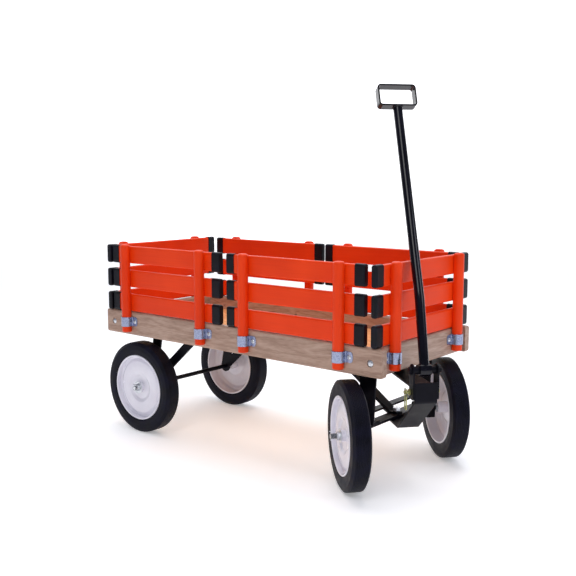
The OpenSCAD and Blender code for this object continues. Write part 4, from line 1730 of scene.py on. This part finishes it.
@dataclass
class Studio:
    """A pale floor, soft lights and the camera."""

    eye: tuple[float, float, float] = (1.44348, -1.70254, 0.40916)
    azimuth: float = 39.538
    elevation: float = 7.4985
    lens: float = 52.49
    sensor: float = 36.0
    floor_half: float = 12.0
    wall_distance: float = 7.0

    def paper(self) -> None:
        """Makes the floor under the lowest tyre and the backdrop behind, both glowing a little."""
        level = CAD_BOX[0].z
        half = self.floor_half
        square = ((-1, -1), (1, -1), (1, 1), (-1, 1))
        flat = [(x * half, y * half, level) for x, y in square]
        back = math.radians(self.azimuth)
        ahead = np.array([-math.sin(back), math.cos(back), 0.0])
        along = np.array([math.cos(back), math.sin(back), 0.0])
        wall = [
            tuple(ahead * self.wall_distance + along * (side * half) + [0, 0, level + rise])
            for side, rise in ((-1, 0), (1, 0), (1, half), (-1, half))
        ]
        for name, corners, glow in (("studio_floor", flat, 0.3), ("studio_backdrop", wall, 1.0)):
            mesh = bpy.data.meshes.new(name)
            mesh.from_pydata(corners, [], [(0, 1, 2, 3)])
            sheet = bpy.data.objects.new(name, mesh)
            bpy.context.scene.collection.objects.link(sheet)
            paper = bpy.data.materials.new(f"{name}_matt_white_paper")
            paper.use_nodes = True
            sockets = paper.node_tree.nodes["Principled BSDF"].inputs
            sockets["Base Color"].default_value = linear("#FBFBFB")
            sockets["Roughness"].default_value = 0.9
            sockets["Emission Color"].default_value = linear("#FFFFFF")
            sockets["Emission Strength"].default_value = glow
            mesh.materials.append(paper)

    def light(self, name: str, where: Vector, size: float, power: float, code: str) -> None:
        """Adds one square soft light that faces the wagon.

        Args:
            name: the light's name.
            where: its place.
            size: its side in metres.
            power: its power in watts.
            code: its colour.
        """
        data = bpy.data.lights.new(name, "AREA")
        data.size = size
        data.energy = power
        data.color = linear(code)[:3]
        lamp = bpy.data.objects.new(name, data)
        lamp.location = where
        aim = Vector((0.1, 0.0, 0.0)) - where
        lamp.rotation_euler = aim.to_track_quat("-Z", "Y").to_euler()
        bpy.context.scene.collection.objects.link(lamp)

    def camera(self) -> None:
        """Makes the camera, level and aimed by its azimuth and elevation."""
        data = bpy.data.cameras.new("studio_camera")
        data.lens = self.lens
        data.sensor_width = self.sensor
        camera = bpy.data.objects.new("studio_camera", data)
        turn, rise = math.radians(self.azimuth), math.radians(self.elevation)
        back = Vector(
            (math.sin(turn) * math.cos(rise), -math.cos(turn) * math.cos(rise), math.sin(rise))
        )
        camera.location = self.eye
        camera.rotation_euler = (-back).to_track_quat("-Z", "Y").to_euler()
        bpy.context.scene.collection.objects.link(camera)
        bpy.context.scene.camera = camera

    def build(self) -> None:
        """Sets the whole stage."""
        world = bpy.data.worlds.new("white_room")
        world.use_nodes = True
        sky = world.node_tree.nodes["Background"]
        sky.inputs["Color"].default_value = linear("#DCE2FF")
        sky.inputs["Strength"].default_value = 0.22
        bpy.context.scene.world = world
        bpy.context.scene.view_settings.view_transform = "Standard"
        self.paper()
        self.light("key_softbox", Vector((1.2, -2.6, 2.6)), 1.6, 36, "#FFFFFF")
        self.light("top_softbox", Vector((0.0, 0.2, 2.8)), 2.2, 52, "#FFFFFF")
        self.light("front_softbox", Vector((3.0, 0.4, 1.4)), 1.2, 18, "#EEF2FF")
        self.camera()


def main() -> None:
    """Builds the wagon's looks part by part, and then the stage."""
    racks = [
        StakeRack(f"{side}_{end}", f"{side}_rail", turn, 1, ORANGE_LONG)
        for side, turn in (("right", 0), ("left", 180))
        for end in ("front", "rear")
    ] + [
        StakeRack(end, f"{end}_rail", turn, -1, ORANGE_CROSS)
        for end, turn in (("front", 90), ("rear", -90))
    ]
    for rack in racks:
        rack.build()
    PostStraps(racks).build()
    Bed().build()
    rear = [DiscWheel("rear_right", -1), DiscWheel("rear_left", 1)]
    front = [DiscWheel("front_right", -1), DiscWheel("front_left", 1)]
    for wheel in rear + front:
        wheel.build()
    ends = [shell for wheel in rear for shell in AxleEnd(wheel, 15 * MM).shells(12 * MM)]
    make_piece("rear_axle_ends", ends, ZINC, "bed", ("rear_axle_hardware",))
    for wheel, side in zip(front, ("right", "left")):
        make_piece(
            f"{side}_stub_axle_end",
            AxleEnd(wheel, 24 * MM).shells(5 * MM),
            ZINC,
            f"spindle_{side}",
            (f"spindle_hardware_{side}",),
        )
    yoke = SteeringYoke()
    yoke.build()
    PullHandle(yoke).build()
    Studio().build()


if __name__ == "__main__":
    logging.basicConfig(level=logging.INFO, format="%(name)s: %(message)s")
    main()
